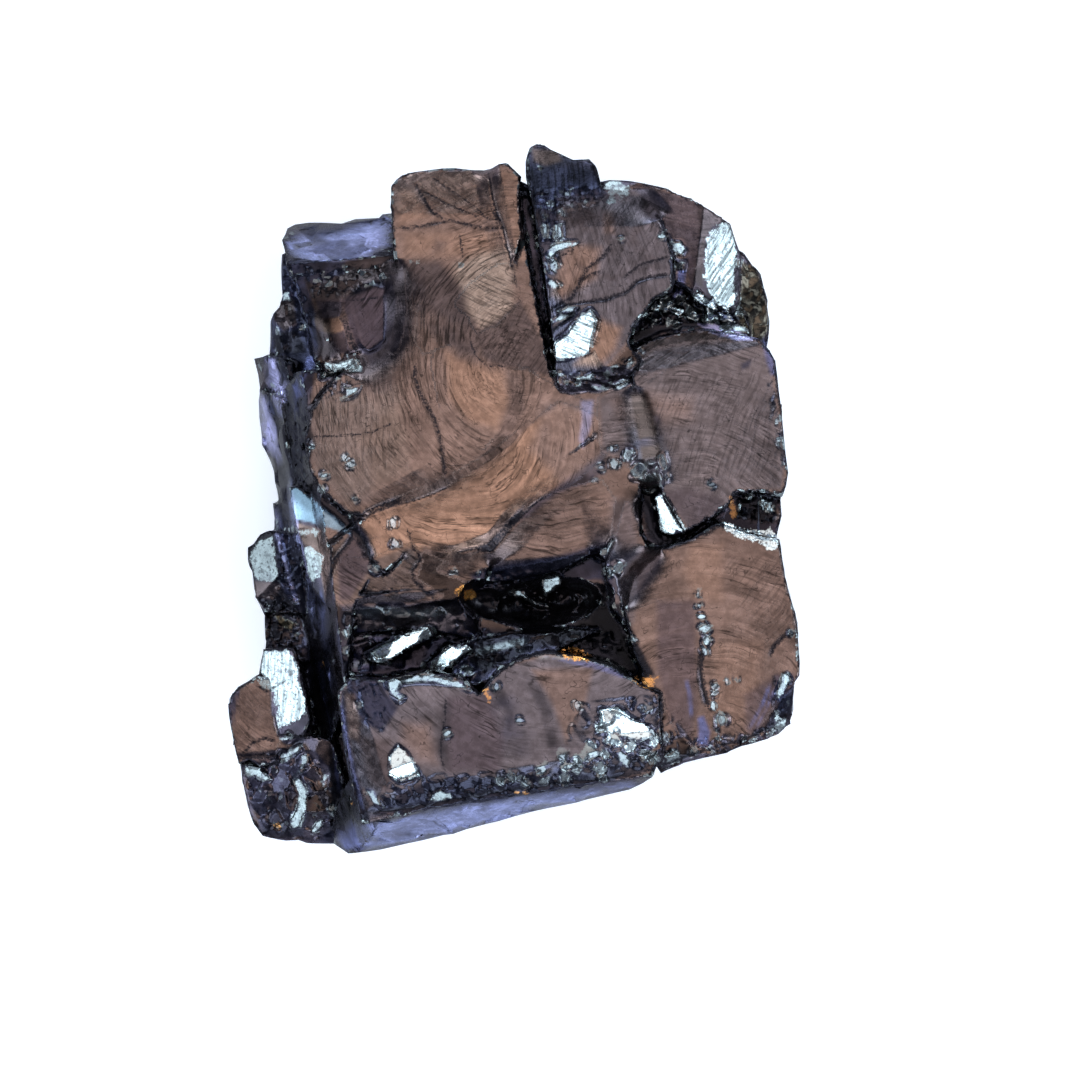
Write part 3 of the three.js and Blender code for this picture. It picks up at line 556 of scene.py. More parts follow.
class Plan:
    """The plan positions of all the mesh's points, in squares, and how far they lie from a line."""

    def __init__(self, points):
        self.x = points[:, 0] / SQUARE + MIDDLE[0]
        self.y = MIDDLE[1] - points[:, 1] / SQUARE

    def near(self, corners, margin):
        xs, ys = zip(*corners)
        inside = (self.x > min(xs) - margin) & (self.x < max(xs) + margin)
        inside &= (self.y > min(ys) - margin) & (self.y < max(ys) + margin)
        return np.flatnonzero(inside)

    def to_line(self, line, margin):
        """(which points, their distance to the line, how far along it they are from 0 to 1)."""
        return self.to_corners(at(line), margin)

    def to_corners(self, line, margin):
        which = self.near(line, margin)
        x, y = self.x[which], self.y[which]
        nearest = np.full(len(which), 1e9)
        along = np.zeros(len(which))
        lengths = [math.dist(a, b) for a, b in zip(line, line[1:])]
        done = 0.0
        for (ax, ay), (bx, by), length in zip(line, line[1:], lengths):
            t = np.clip(((x - ax) * (bx - ax) + (y - ay) * (by - ay)) / length**2, 0, 1)
            distance = np.hypot(x - ax - t * (bx - ax), y - ay - t * (by - ay))
            along = np.where(distance < nearest, (done + t * length) / sum(lengths), along)
            nearest = np.minimum(nearest, distance)
            done += length
        return which, nearest, along

    def to_outline(self, outline, margin):
        """(which points, their distance to the outline, below zero inside it)."""
        corners = at(outline)
        which, nearest, _ = self.to_corners([*corners, corners[0]], margin)
        x, y = self.x[which], self.y[which]
        inside = np.zeros(len(which), bool)
        for (ax, ay), (bx, by) in zip(corners, corners[1:] + corners[:1]):
            if ay != by:
                inside ^= ((ay > y) != (by > y)) & (x < ax + (y - ay) * (bx - ax) / (by - ay))
        return which, np.where(inside, -nearest, nearest)

    def around(self, origin, which):
        """(how far the points lie from origin, their turn about it from the middle of them)."""
        dx, dy = self.x[which] - origin[0], self.y[which] - origin[1]
        aim_x, aim_y = dx.mean(), dy.mean()
        return np.hypot(dx, dy) * SQUARE, np.arctan2(dy * aim_x - dx * aim_y, dx * aim_x + dy * aim_y)


# ---- the fine mesh ----------------------------------------------------------------------
MERGING = 0.0001  # points of the solid's mesh this close are one
RUMPLE = 0.05  # how far the broad unevenness moves the surface
RUMPLE_SIZE = 3.0
FLANK_CHIPS = 0.09  # how far the chips on the steep sides move them
FLANK_CHIP_SIZES = (1.6, 0.5)
BASE_BAND = (0.25, 1.4)  # the height over which the carving fades in above the resting face
UNDERSIDE = (-0.9, -0.3)  # the normals over which it fades out underneath
SIDE_RIPPLE = 0.045
SIDE_SPACING = 0.8  # from one ripple of a steep side to the next
BLOWS = [  # where those ripples spread from
    (-12, 17, 9), (6, 20, 12), (16, 8, 13), (16, -6, 4),
    (6, -18, 14), (-8, -18, 12), (-17, -10, 3), (-16, 6, 12),
]
RIPPLE_EDGE = 6  # squares over which a face's ripples fade in from its outline
COARSE_RIPPLE = (1.3, 0.10)  # ripples to a spacing, across them and along them
FINE_RIPPLE = (3.1, 0.22)
LAYER = 7.7  # noise this far apart along its third axis has nothing in common
SIDE_LAYER = 90.0
CRACK_DEPTH = 0.35
CRACK_EDGE = 0.06  # the half width up to which a crack's edge is drawn sharp
EDGE_CHIPS = 0.05  # how far the chips along the sharp edges move them
EDGE_CHIP_SIZE = 0.28
SHARP_ROUNDS = 4  # of averaging the normals, which shortens them at an edge
SHARP = (0.03, 0.16)  # how much shorter, from flat ground to a sharp edge
WEARING = 300  # rounds of smoothing that spread a step out in the worn outlines
WORN_EDGE = (-3, 6)  # squares out from a worn outline over which the wear fades out
REACH = 8  # squares about a crack or an outline in which the distance to it is found
NO_EDGE = 1.0  # the distance given to points that are far from all of them
GLINT_LIMIT = 0.55  # how far a pale facet's plane may leave the solid
GLINT_STEEP = (0.22, 0.08)  # the upward normals over which a facet stops short of steep ground
BEAD_SLOPE = 0.53
BEAD_STEEP = (0.4, 0.2)
GOLD_STEEP = (0.35, 0.15)
LIGHT_BEARINGS = (190, 97, 290, 5)  # degrees anticlockwise from east


def resize(mesh, by):
    mesh.transform(((by, 0, 0, 0), (0, by, 0, 0), (0, 0, by, 0), (0, 0, 0, 1)))


def triples(items, name):
    values = np.empty(len(items) * 3, np.float32)
    items.foreach_get(name, values)
    return values.reshape(-1, 3).astype(np.float64)


def move(mesh, points):
    mesh.vertices.foreach_set("co", points.astype(np.float32).ravel())
    mesh.update()


def fine_stone(node):
    """An even, dense mesh of the CAD node's shape, in millimetres."""
    made = bpy.data.objects.new("raw_shungite", node.data.copy())
    bpy.context.scene.collection.objects.link(made)
    bpy.context.view_layer.objects.active = made
    made.data.materials.clear()
    resize(made.data, 1 / METRES)
    weld = made.modifiers.new("weld", "WELD")
    weld.merge_threshold = MERGING
    bpy.ops.object.modifier_apply(modifier="weld")
    made.data.remesh_voxel_size = VOXEL
    bpy.ops.object.voxel_remesh()
    return made


def rumple(points, normals):
    """Broad unevenness everywhere and flat chips on the steep sides."""
    steep = 1 - ramp(np.abs(normals[:, 2]), 0.35, 0.75)
    large, small = FLANK_CHIP_SIZES
    lift = RUMPLE * cloud(points, RUMPLE_SIZE, seed=11)
    sides = np.flatnonzero(steep > 0)
    lift[sides] += steep[sides] * FLANK_CHIPS * splinters(points[sides], large, seed=21)
    lift[sides] += steep[sides] * 0.4 * FLANK_CHIPS * splinters(points[sides] * (1, 1, 0.35), small, seed=31)
    return points + normals * lift[:, None]


def edge_ends(mesh):
    ends = np.empty(2 * len(mesh.edges), np.int32)
    mesh.edges.foreach_get("vertices", ends)
    return ends.reshape(-1, 2)


def neighbour_mean(ends, values, rounds):
    """Each point's values averaged with its neighbours' along the edges, some rounds over."""
    a, b = ends.T
    count = np.bincount(ends.ravel(), minlength=len(values)) + 1.0
    for _ in range(rounds):
        total = values.copy()
        for axis in range(values.shape[1]):
            total[:, axis] += np.bincount(a, values[b, axis], len(values))
            total[:, axis] += np.bincount(b, values[a, axis], len(values))
        values = total / count[:, None]
    return values


def wear(ends, points, inside):
    """The worn ground's steps are spread out between the ground about them."""
    ends = ends[inside[ends].any(1)]
    near, ends = np.unique(ends, return_inverse=True)
    ends = ends.reshape(-1, 2)
    part = points[near]
    free = inside[near]
    for _ in range(WEARING):
        part[free] = neighbour_mean(ends, part, 1)[free]
    points[near] = part


def sharpness(ends, normals):
    """0 on flat ground to 1 on a sharp edge or in a sharp corner."""
    mean = neighbour_mean(ends, normals, SHARP_ROUNDS)
    return ramp(1 - np.linalg.norm(mean, axis=1), *SHARP)


def unworn(plan):
    """0 in the worn outlines, 1 elsewhere."""
    kept = np.ones(len(plan.x))
    for outline in WORN:
        which, distance = plan.to_outline(outline, WORN_EDGE[1])
        kept[which] *= ramp(distance, *WORN_EDGE)
    return kept


def chip_edges(points, normals, sharp):
    """Small chips knocked out of the sharp edges."""
    part = np.flatnonzero(sharp > 0.02)
    lift = splinters(points[part], EDGE_CHIP_SIZE, seed=701) * EDGE_CHIPS * sharp[part]
    points[part] += normals[part] * lift[:, None]


def shatter(points, plan):
    """Flat chips all over some ground. Returns how much each point's ground sparkles, which the material
    paints as pale glints and black shade between chips.
    """
    broken = np.zeros(len(points))
    for number, (outline, size, height, sparkle) in enumerate(SHATTERED):
        which, distance = plan.to_outline(outline, 0)
        part = which[distance < 0]
        inside = ramp(-distance[distance < 0], 0, 5)
        chips = splinters(points[part] * (1, 1, 0.6), size, seed=41 + 10 * number)
        points[part, 2] += inside * height * chips
        broken[part] = np.maximum(broken[part], inside * sparkle)
    return broken


def ripple(points, normals, plan):
    """Ripples round each face's origin. Returns each point's place on them, and their crests."""
    arcs = np.zeros((len(points), 3))
    crest = np.zeros(len(points))
    for number, (outline, origin, spacing, height, _) in enumerate(FACES.values()):
        which, distance = plan.to_outline(outline, RIPPLE_EDGE)
        weight = ramp(-distance, -RIPPLE_EDGE / 2, RIPPLE_EDGE)
        part = which[weight > 0]
        weight = weight[weight > 0]
        radius, turn = plan.around(origin, part)
        across = (radius + 0.35 * cloud(points[part], 2.5, seed=301 + number)) / spacing
        along = turn * np.median(radius) / spacing
        found = np.stack([across, along, np.full(len(part), number * LAYER)], 1)
        coarse = value_noise(found * (*COARSE_RIPPLE, 1.0), seed=311)
        fine = value_noise(found * (*FINE_RIPPLE, 1.0), seed=313)
        loud = ramp(cloud(points[part], 3.5, seed=331), -0.5, 0.5)
        wave = (0.25 + 0.75 * loud) * (0.75 * coarse + 0.35 * fine)
        crest[part] = crest[part] * (1 - weight) + wave * weight
        arcs[part] = found
        points[part, 2] += weight * height * wave * ramp(normals[part, 2], 0.5, 0.9)
    return arcs, crest


def ripple_sides(points, normals, arcs, crest):
    """The same on the steep sides, where they spread from the nearest of a few blows."""
    part = np.flatnonzero(np.abs(normals[:, 2]) < 0.5)
    away = np.linalg.norm(points[part, None] - np.array(BLOWS)[None], axis=2)
    across = (away.min(1) + 0.5 * cloud(points[part], 3.0, seed=361)) / SIDE_SPACING
    layer = SIDE_LAYER + LAYER * away.argmin(1)
    found = np.stack([across, points[part, 2] / SIDE_SPACING, layer], 1)
    wave = value_noise(found * (*COARSE_RIPPLE, 1.0), seed=371)
    wave += 0.4 * value_noise(found * (*FINE_RIPPLE, 1.0), seed=373)
    weight = 1 - ramp(np.abs(normals[part, 2]), 0.3, 0.5)
    arcs[part] = np.where((weight > 0.5)[:, None], found, arcs[part])
    crest[part] += weight * wave
    points[part] += normals[part] * (SIDE_RIPPLE * weight * wave)[:, None]


def crack(points, plan):
    """Grooves along the cracks. Returns every point's distance to the nearest crack's edge."""
    edge = np.full(len(points), NO_EDGE)
    for line, half_width, depth in CRACKS:
        reach = 3 * half_width / SQUARE
        which, distance, along = plan.to_line(line, max(reach, REACH))
        distance = distance * SQUARE
        taper = ramp(along, 0, 0.08) * ramp(1 - along, 0, 0.08)
        points[which, 2] -= CRACK_DEPTH * depth * taper * np.exp(-((distance / (1.6 * half_width)) ** 2))
        sharply = min(1.0, CRACK_EDGE / half_width)
        edge[which] = np.minimum(edge[which], sharply * (distance - half_width * (0.1 + 0.9 * taper)))
    return edge


def take_nearer(edge, strength, which, distance, strong):
    """Where an outline is nearer than the ones before it, its distance and strength are taken."""
    strength[which[distance < edge[which]]] = strong
    edge[which] = np.minimum(edge[which], distance)


def tilt_glints(points, normals, plan):
    """Turns each facet to the light. Returns the distance to its outline and how pale its painted highlight
    is.
    """
    edge = np.full(len(points), NO_EDGE)
    pale = np.zeros(len(points))
    slope = math.tan(math.radians(GLINT_FALL)) * SQUARE
    for outline, bearing, paleness in GLINTS:
        which, distance = plan.to_outline(outline, REACH)
        if bearing is not None:
            inside = which[(distance < 0) & (normals[which, 2] > 0.3)]
            down = math.cos(math.radians(bearing)) * plan.x - math.sin(math.radians(bearing)) * plan.y
            plane = points[inside, 2].mean() - slope * (down[which] - down[inside].mean())
            weight = ramp(-distance, -2.5, 0.5) * ramp(normals[which, 2], 0.0, 0.3)
            points[which, 2] += weight * np.clip(plane - points[which, 2], -GLINT_LIMIT, GLINT_LIMIT)
        distance = distance * SQUARE + ramp(normals[which, 2], *GLINT_STEEP)
        take_nearer(edge, pale, which, distance, paleness)
    return edge, pale


def raise_beads(points, normals, plan, edge, pale):
    """Small chips standing up, each with its flat side turned to one of the lights; records how pale its
    painted highlight is.
    """
    for number, (x, y, radius, paleness) in enumerate(at(BEADS)):
        bearing = math.radians(LIGHT_BEARINGS[number % len(LIGHT_BEARINGS)])
        which = plan.near([(x, y)], 2 * radius)
        dx, dy = plan.x[which] - x, plan.y[which] - y
        distance = np.hypot(dx, dy) * (1 + 0.35 * value_noise(points[which] * 3, seed=351 + number))
        rise = -BEAD_SLOPE * SQUARE * (dx * math.cos(bearing) - dy * math.sin(bearing))
        points[which, 2] += rise * ramp(distance, 1.3 * radius, 0.9 * radius)
        rim = (distance - radius) * SQUARE + ramp(normals[which, 2], *BEAD_STEEP)
        take_nearer(edge, pale, which, rim, paleness)


def find_gold(normals, plan):
    """Every point's distance to the nearest painted gold glint, and how strong that one is."""
    edge = np.full(len(plan.x), NO_EDGE)
    strength = np.zeros(len(plan.x))
    for outline, strong in GOLDS:
        which, distance = plan.to_outline(outline, REACH)
        distance = distance * SQUARE + ramp(normals[which, 2], *GOLD_STEEP)
        take_nearer(edge, strength, which, distance, strong)
    return edge, strength


# ---- the colour of every point ----------------------------------------------------------
HOLLOW_CELL = 4.0  # squares, and how many cells each way make the ground about a point
HOLLOW_REACH = 5
HOLLOW_DEPTH = (0.25, 1.3)  # over which low ground takes painted navy shade
TILTED = (12, 26)  # degrees over which ground takes painted navy shade as it tilts
STEEP = (50, 64)  # and over which it takes the colours of the sides, with their painted reflection
MOTTLED = 0.30  # how much the mottling, and the ripples as painted light and shade, lighten and darken the ground
RIPPLED = 0.45
SCORES_APART = 5  # how far one scored ground's noise lies from the next one's
BRIGHT = 0.1  # the value in a colour from which it is a bright one
TOP = 0.55  # the upward normal from which ground keeps all its triangles
THINNING = [(-2, 0.2, 1.0), (0.2, TOP, 0.5), (TOP, 2, 0.0)]  # (normals from, to, how much they are thinned)


def blend(tone, which, colour, weight):
    weight = weight[:, None]
    tone[which] = tone[which] * (1 - weight) + np.array(colour) * weight


def hollowness(points, plan):
    """How far each point lies below the ground about it, on the plan."""
    column = ((plan.x - plan.x.min()) / HOLLOW_CELL).astype(int)
    row = ((plan.y - plan.y.min()) / HOLLOW_CELL).astype(int)
    shape = (row.max() + 1, column.max() + 1)
    top = np.zeros(shape)
    np.maximum.at(top, (row, column), points[:, 2])
    solid = (top > 0).astype(float)
    steps = range(-HOLLOW_REACH, HOLLOW_REACH + 1)
    for axis in (0, 1):
        top = sum(np.roll(top, step, axis) for step in steps)
        solid = sum(np.roll(solid, step, axis) for step in steps)
    return (top / np.maximum(solid, 1))[row, column] - points[:, 2]


def face_tones(points, plan, crest):
    """Brown, with each fracture face's colour of painted reflection, mottled, and brighter on the ripples'
    crests as painted light.
    """
    tone = np.tile(np.array(BROWN), (len(points), 1))
    for outline, _, _, _, colour in FACES.values():
        which, distance = plan.to_outline(outline, 4)
        blend(tone, which, colour, ramp(-distance, -3, 3))
    mottle = cloud(points, 1.6, seed=401, octaves=4)
    tone *= (1 + MOTTLED * mottle + RIPPLED * crest)[:, None]
    return tone


def paint_shade_and_side_reflection(tone, points, normals, plan, kept):
    """Painted navy shade where the ground tilts or lies low; soot and slate chips on the steep sides, with
    lavender beds of painted reflection.
    """
    everything = np.arange(len(points))
    tilt = np.degrees(np.arccos(np.clip(normals[:, 2], -1, 1)))
    # painted shade: navy in the hollows, as below where the ground tilts
    low = ramp(hollowness(points, plan), *HOLLOW_DEPTH) * ramp(normals[:, 2], 0.2, 0.6)
    blend(tone, everything, NAVY, (0.4 + 0.4 * kept) * ramp(tilt, *TILTED))
    blend(tone, everything, NAVY, 0.8 * kept * low)
    chips = splinters(points * (1, 1, 0.4), 1.1, seed=421)
    beds = value_noise(points * (0.25, 0.25, 2.2), seed=431)
    beds += 0.6 * value_noise(points * (0.6, 0.6, 5.0), seed=433)
    steep = kept * ramp(tilt, *STEEP)
    blend(tone, everything, SOOT, steep * 0.8)
    blend(tone, everything, SLATE, steep * ramp(chips, -0.1, 0.5) * 0.30)
    blend(tone, everything, LAVENDER, steep * ramp(beds, 0.35, 0.6) * 0.20)


def lay_patches(tone, normals, plan):
    """The patches in turn; a bright one only on ground that faces up."""
    for colour, strength, soft, outline in PATCHES:
        which, distance = plan.to_outline(outline, soft)
        facing = ramp(normals[which, 2], 0.0, 0.12) if max(colour) > BRIGHT else 1.0
        blend(tone, which, colour, strength * facing * ramp(-distance, -soft / 2, soft / 2))


def lay_streaks(tone, points, plan):
    for colour, strength, half_width, line in STREAKS:
        which, distance, along = plan.to_line(line, 3 * half_width)
        taper = ramp(along, 0, 0.2) * ramp(along, 1, 0.8)
        taper *= 0.6 + 0.4 * value_noise(points[which] * 2, seed=441)
        blend(tone, which, colour, strength * taper * ramp(distance, 1.6 * half_width, 0.4 * half_width))


def tones(points, normals, plan, crest, kept):
    tone = face_tones(points, plan, crest)
    paint_shade_and_side_reflection(tone, points, normals, plan, kept)
    lay_patches(tone, normals, plan)
    lay_streaks(tone, points, plan)
    return tone


def scores(points, plan):
    """Each point's place across and along the fine lines that score its ground, and how strong they are."""
    marks = np.zeros((len(points), 3))
    for number, (bearing, strength, soft, outline) in enumerate(SCORED):
        which, distance = plan.to_outline(outline, soft)
        if isinstance(bearing, tuple):
            across, turn = plan.around(bearing, which)
            along = turn * across.mean()
        else:
            turn = math.radians(bearing)
            east, north = points[which, 0], points[which, 1]
            along = east * math.cos(turn) + north * math.sin(turn)
            across = north * math.cos(turn) - east * math.sin(turn)
        across += 0.2 * value_noise(points[which] * 0.5, seed=451)
        strong = strength * ramp(-distance, -soft / 2, soft / 2)
        found = np.stack([across + SCORES_APART * number, along, strong], 1)
        marks[which] = np.where((strong > marks[which, 2])[:, None], found, marks[which])
    return marks


def attach(mesh, name, kind, values):
    field = {"FLOAT_COLOR": "color", "FLOAT_VECTOR": "vector", "FLOAT": "value"}[kind]
    if kind == "FLOAT_COLOR":
        values = np.column_stack([values, np.ones(len(values))])
    layer = mesh.attributes.new(name, kind, "POINT")
    layer.data.foreach_set(field, np.ascontiguousarray(values, np.float32).ravel())


def thin(made):
    """Fewer triangles where the stone is flat or steep; the top keeps the most."""
    vertices = made.data.vertices
    facing = triples(made.data.vertex_normals, "vector")[:, 2]
    group = made.vertex_groups.new(name="spare")
    for low, high, weight in THINNING:
        chosen = np.flatnonzero((facing >= low) & (facing < high))
        group.add(chosen.tolist(), weight, "REPLACE")
    triangles = 2 * len(made.data.polygons)
    print("points", len(vertices), "triangles", triangles, "top", int((facing > TOP).sum()))
    if triangles > MOST_TRIANGLES:
        fewer = made.modifiers.new("fewer", "DECIMATE")
        fewer.ratio = MOST_TRIANGLES / triangles
        fewer.vertex_group = "spare"
        fewer.vertex_group_factor = 1.0
        bpy.ops.object.modifier_apply(modifier="fewer")


def within_box(points):
    """The points, held inside the CAD part's box."""
    lowest, highest = [np.array(corner) / METRES for corner in cad_box]
    return np.clip(points, lowest, highest)


def carve(mesh):
    """Carves the mesh and attaches its marks. Returns its points, plan, crests and unworn ground."""
    points = triples(mesh.vertices, "co")
    ends = edge_ends(mesh)
    plan = Plan(points)
    kept = unworn(plan)
    wear(ends, points, kept < 0.5)
    move(mesh, points)
    normals = triples(mesh.vertex_normals, "vector")
    sharp = sharpness(ends, normals) * kept
    carved = rumple(points, normals)
    chip_edges(carved, normals, sharp)
    broken = shatter(carved, plan)
    arcs, crest = ripple(carved, normals, plan)
    ripple_sides(carved, normals, arcs, crest)
    line = crack(carved, plan)
    glint, pale = tilt_glints(carved, normals, plan)
    raise_beads(carved, normals, plan, glint, pale)
    gold, golden = find_gold(normals, plan)
    fade = ramp(points[:, 2], *BASE_BAND) * ramp(normals[:, 2], *UNDERSIDE)
    carved = within_box(points + (carved - points) * fade[:, None])
    move(mesh, carved)
    attach(mesh, "arcs", "FLOAT_VECTOR", arcs)
    attach(mesh, "edges", "FLOAT_VECTOR", np.stack([line, glint, gold], 1))
    attach(mesh, "strengths", "FLOAT_VECTOR", np.stack([pale, golden, sharp], 1))
    attach(mesh, "broken", "FLOAT", broken)
    return carved, plan, crest, kept


def paint(mesh, points, plan, crest, kept):
    normals = triples(mesh.vertex_normals, "vector")
    attach(mesh, "tone", "FLOAT_COLOR", tones(points, normals, plan, crest, kept))
    attach(mesh, "scores", "FLOAT_VECTOR", scores(points, plan))


def carved_stone():
    made = fine_stone(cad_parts["shungite_stone"])
    paint(made.data, *carve(made.data))
    thin(made)
    mesh = made.data
    move(mesh, within_box(triples(mesh.vertices, "co")))
    resize(mesh, METRES)
    mesh.shade_smooth()
    return made


# ---- materials --------------------------------------------------------------------------
MOST_NOISE = (0.3, 0.7)  # nearly all of a noise lies between these
STREAK_GRAIN = (2.2, 0.16, 1.0)  # noise cells across the ripples, along them and from face to face
HAIR_GRAIN = (0.8, 0.07, 1.0)
SCORE_GRAIN = (7.0, 0.6, 0.0)
HAIR_TONE = 0.32  # what a hairline leaves of the tone
CHIPS_PER_MM = 3.6
CHIP_LEAN = 1.1
GLOSS = (0.17, 0.32)  # the roughness of the glassy and of the dull patches


class Nodes:
    """A short way to write a material's node tree."""

    def __init__(self, owner):
        owner.use_nodes = True
        self.tree = owner.node_tree

    def put(self, value, socket):
        if isinstance(value, bpy.types.NodeSocket):
            self.tree.links.new(value, socket)
        else:
            socket.default_value = value

    def add(self, kind, out, inputs=(), **settings):
        """A node's output socket; inputs are (socket name or number, value or socket)."""
        node = self.tree.nodes.new("ShaderNode" + kind)
        for key, value in settings.items():
            setattr(node, key, value)
        for key, value in inputs:
            self.put(value, node.inputs[key])
        return node.outputs[out]

    def attribute(self, name, out="Vector"):
        return self.add("Attribute", out, attribute_name=name)

    def part(self, vector, axis):
        return self.add("SeparateXYZ", axis, [(0, vector)])

    def maths(self, operation, a, b=0.0):
        return self.add("Math", 0, [(0, a), (1, b)], operation=operation)

    def spread(self, value, low, high, to_low, to_high, kind="SMOOTHSTEP"):
        """value from low..high to to_low..to_high, held at the ends."""
        inputs = [("From Min", low), ("From Max", high), ("To Min", to_low), ("To Max", to_high)]
        return self.add("MapRange", 0, [("Value", value), *inputs], interpolation_type=kind)

    def noise(self, vector, scale, detail=2.0, rough=0.5):
        inputs = [("Vector", vector), ("Scale", scale), ("Detail", detail), ("Roughness", rough)]
        return self.add("TexNoise", 0, inputs)

    def stretch(self, vector, by):
        return self.add("VectorMath", 0, [(0, vector), (1, by)], operation="MULTIPLY")

    def mix(self, amount, a, b):
        """Colour a, or b where amount is 1."""
        return self.add("Mix", 2, [(0, amount), (6, a), (7, b)], data_type="RGBA")

    def times(self, colour, amount):
        return self.add("VectorMath", 0, [(0, colour), ("Scale", amount)], operation="SCALE")


def hairlines(n, vector, scale, width):
    """1 on thin wandering lines, 0 between them."""
    off = n.maths("ABSOLUTE", n.maths("SUBTRACT", n.noise(vector, scale, 3.0, 0.6), 0.5))
    return n.spread(off, 0.0, width, 1, 0)


class Marks:
    """The values at each point of the stone that several steps of its material share."""

    def __init__(self, n):
        edges = n.attribute("edges")
        strengths = n.attribute("strengths")
        self.place = n.stretch(n.add("TexCoord", "Object"), (1 / METRES, 1 / METRES, 1 / METRES))
        self.arcs = n.attribute("arcs")
        self.to_crack, self.to_glint, self.to_gold = (n.part(edges, axis) for axis in range(3))
        self.pale, self.golden, sharp = (n.part(strengths, axis) for axis in range(3))
        broken = n.attribute("broken", "Fac")
        # shattered ground and sharp edges: painted black as shade between chips, with painted sparks, and
        # with leaning chips in the normal
        self.rough_ground = n.maths("MAXIMUM", n.maths("MULTIPLY", broken, 0.5), sharp)
        self.fine = n.noise(self.place, 9.0, 3.0, 0.6)
        self.mottle = n.noise(self.place, 2.4, 4.0, 0.6)
        self.streak = n.noise(n.stretch(self.arcs, STREAK_GRAIN), 1.0, 3.0, 0.65)
        astray = n.add("TexNoise", "Color", [("Vector", self.place), ("Scale", 2.0), ("Detail", 1.0)])
        bent = n.add("VectorMath", 0, [(0, n.times(astray, 0.5)), (1, self.place)])
        self.cells = n.add("TexVoronoi", "Color", [("Vector", bent), ("Scale", CHIPS_PER_MM)])
        self.ragged = n.spread(self.fine, *MOST_NOISE, -0.05, 0.05)
        wander = n.spread(n.noise(self.place, 2.6, 3.0, 0.6), *MOST_NOISE, -0.10, 0.10)
        self.uneven = n.maths("ADD", self.ragged, wander)


def grained(n, marks):
    """The painted tone, streaked lighter and darker along the ripples as painted light and shade, mottled
    and crossed by hairlines.
    """
    loud = n.spread(n.noise(marks.place, 0.45, 2.0), 0.35, 0.65, 0.15, 1.0)
    ripple_light_and_shade = n.maths("MULTIPLY", n.spread(marks.streak, 0.3, 0.72, -0.35, 0.40), loud)
    colour = n.times(n.attribute("tone", "Color"), n.maths("ADD", ripple_light_and_shade, 1.0))
    colour = n.times(colour, n.spread(marks.mottle, *MOST_NOISE, 0.72, 1.28))
    arc_hair = n.maths("MULTIPLY", hairlines(n, n.stretch(marks.arcs, HAIR_GRAIN), 1.0, 0.024), loud)
    patchy = n.spread(marks.mottle, 0.42, 0.56, 0, 0.9)
    hair = n.maths("MULTIPLY", hairlines(n, marks.place, 0.55, 0.008), patchy)
    return n.times(colour, n.spread(n.maths("MAXIMUM", arc_hair, hair), 0, 1, 1.0, HAIR_TONE))


def chipped(n, marks, colour):
    """Rough ground and sharp edges are painted black between their chips as shade, and a few of the chips
    get a painted pale glint.
    """
    rough = n.maths("ADD", marks.rough_ground, n.spread(marks.fine, *MOST_NOISE, -0.3, 0.3))
    colour = n.mix(n.spread(rough, 0.3, 0.8, 0, 0.85), colour, (*BLACK, 1))
    spark = n.spread(n.part(marks.cells, 0), 0.89, 0.93, 0, 0.9)
    spark = n.maths("MULTIPLY", spark, n.spread(marks.rough_ground, 0.1, 0.5, 0, 1))
    return n.mix(spark, colour, (*PAINTED_GLINT, 1))


def glinting(n, marks, colour):
    """The painted highlights: pale and golden glints on the facets, with ragged outlines and dark specks."""
    patchy = n.spread(n.noise(marks.place, 1.7, 4.0, 0.7), 0.32, 0.46, 0.35, 1.0)
    specks = n.spread(n.noise(marks.place, 7.0, 2.0), 0.34, 0.46, 0.35, 1.0)
    glint = n.spread(n.maths("ADD", marks.to_glint, marks.uneven), -0.04, 0.04, 1, 0)
    glint = n.maths("MULTIPLY", n.maths("MULTIPLY", glint, specks), n.maths("MINIMUM", marks.pale, 1.0))
    glint = n.maths("MULTIPLY", glint, patchy)
    colour = n.mix(glint, colour, n.times((*PAINTED_GLINT,), n.spread(marks.pale, 1, 2, 1, 3)))
    gold = n.spread(n.maths("ADD", marks.to_gold, marks.uneven), -0.08, 0.08, 1, 0)
    return n.mix(n.maths("MULTIPLY", gold, marks.golden), colour, (*GOLD, 1))


def cracked(n, marks, colour):
    line = n.maths("ADD", marks.to_crack, n.maths("MULTIPLY", marks.ragged, 0.9))
    return n.mix(n.spread(line, -0.02, 0.06, 0.92, 0), colour, (*BLACK, 1))


def surface(n, marks, scoring):
    """The normal: chips that lean this way and that on rough ground, then the fine grain."""
    lean = n.add("VectorMath", 0, [(0, marks.cells), (1, (0.5, 0.5, 0.5))], operation="SUBTRACT")
    lean = n.times(lean, n.maths("MULTIPLY", marks.rough_ground, CHIP_LEAN))
    lean = n.add("VectorMath", 0, [(0, lean), (1, n.add("NewGeometry", "Normal"))])
    lean = n.add("VectorMath", 0, [(0, lean)], operation="NORMALIZE")
    height = n.maths("ADD", n.maths("MULTIPLY", marks.streak, 0.008), n.maths("MULTIPLY", marks.fine, 0.006))
    height = n.maths("SUBTRACT", height, n.maths("MULTIPLY", scoring, 0.006))
    bump = [("Strength", 1.0), ("Distance", METRES), ("Height", height), ("Normal", lean)]
    return n.add("Bump", 0, bump)


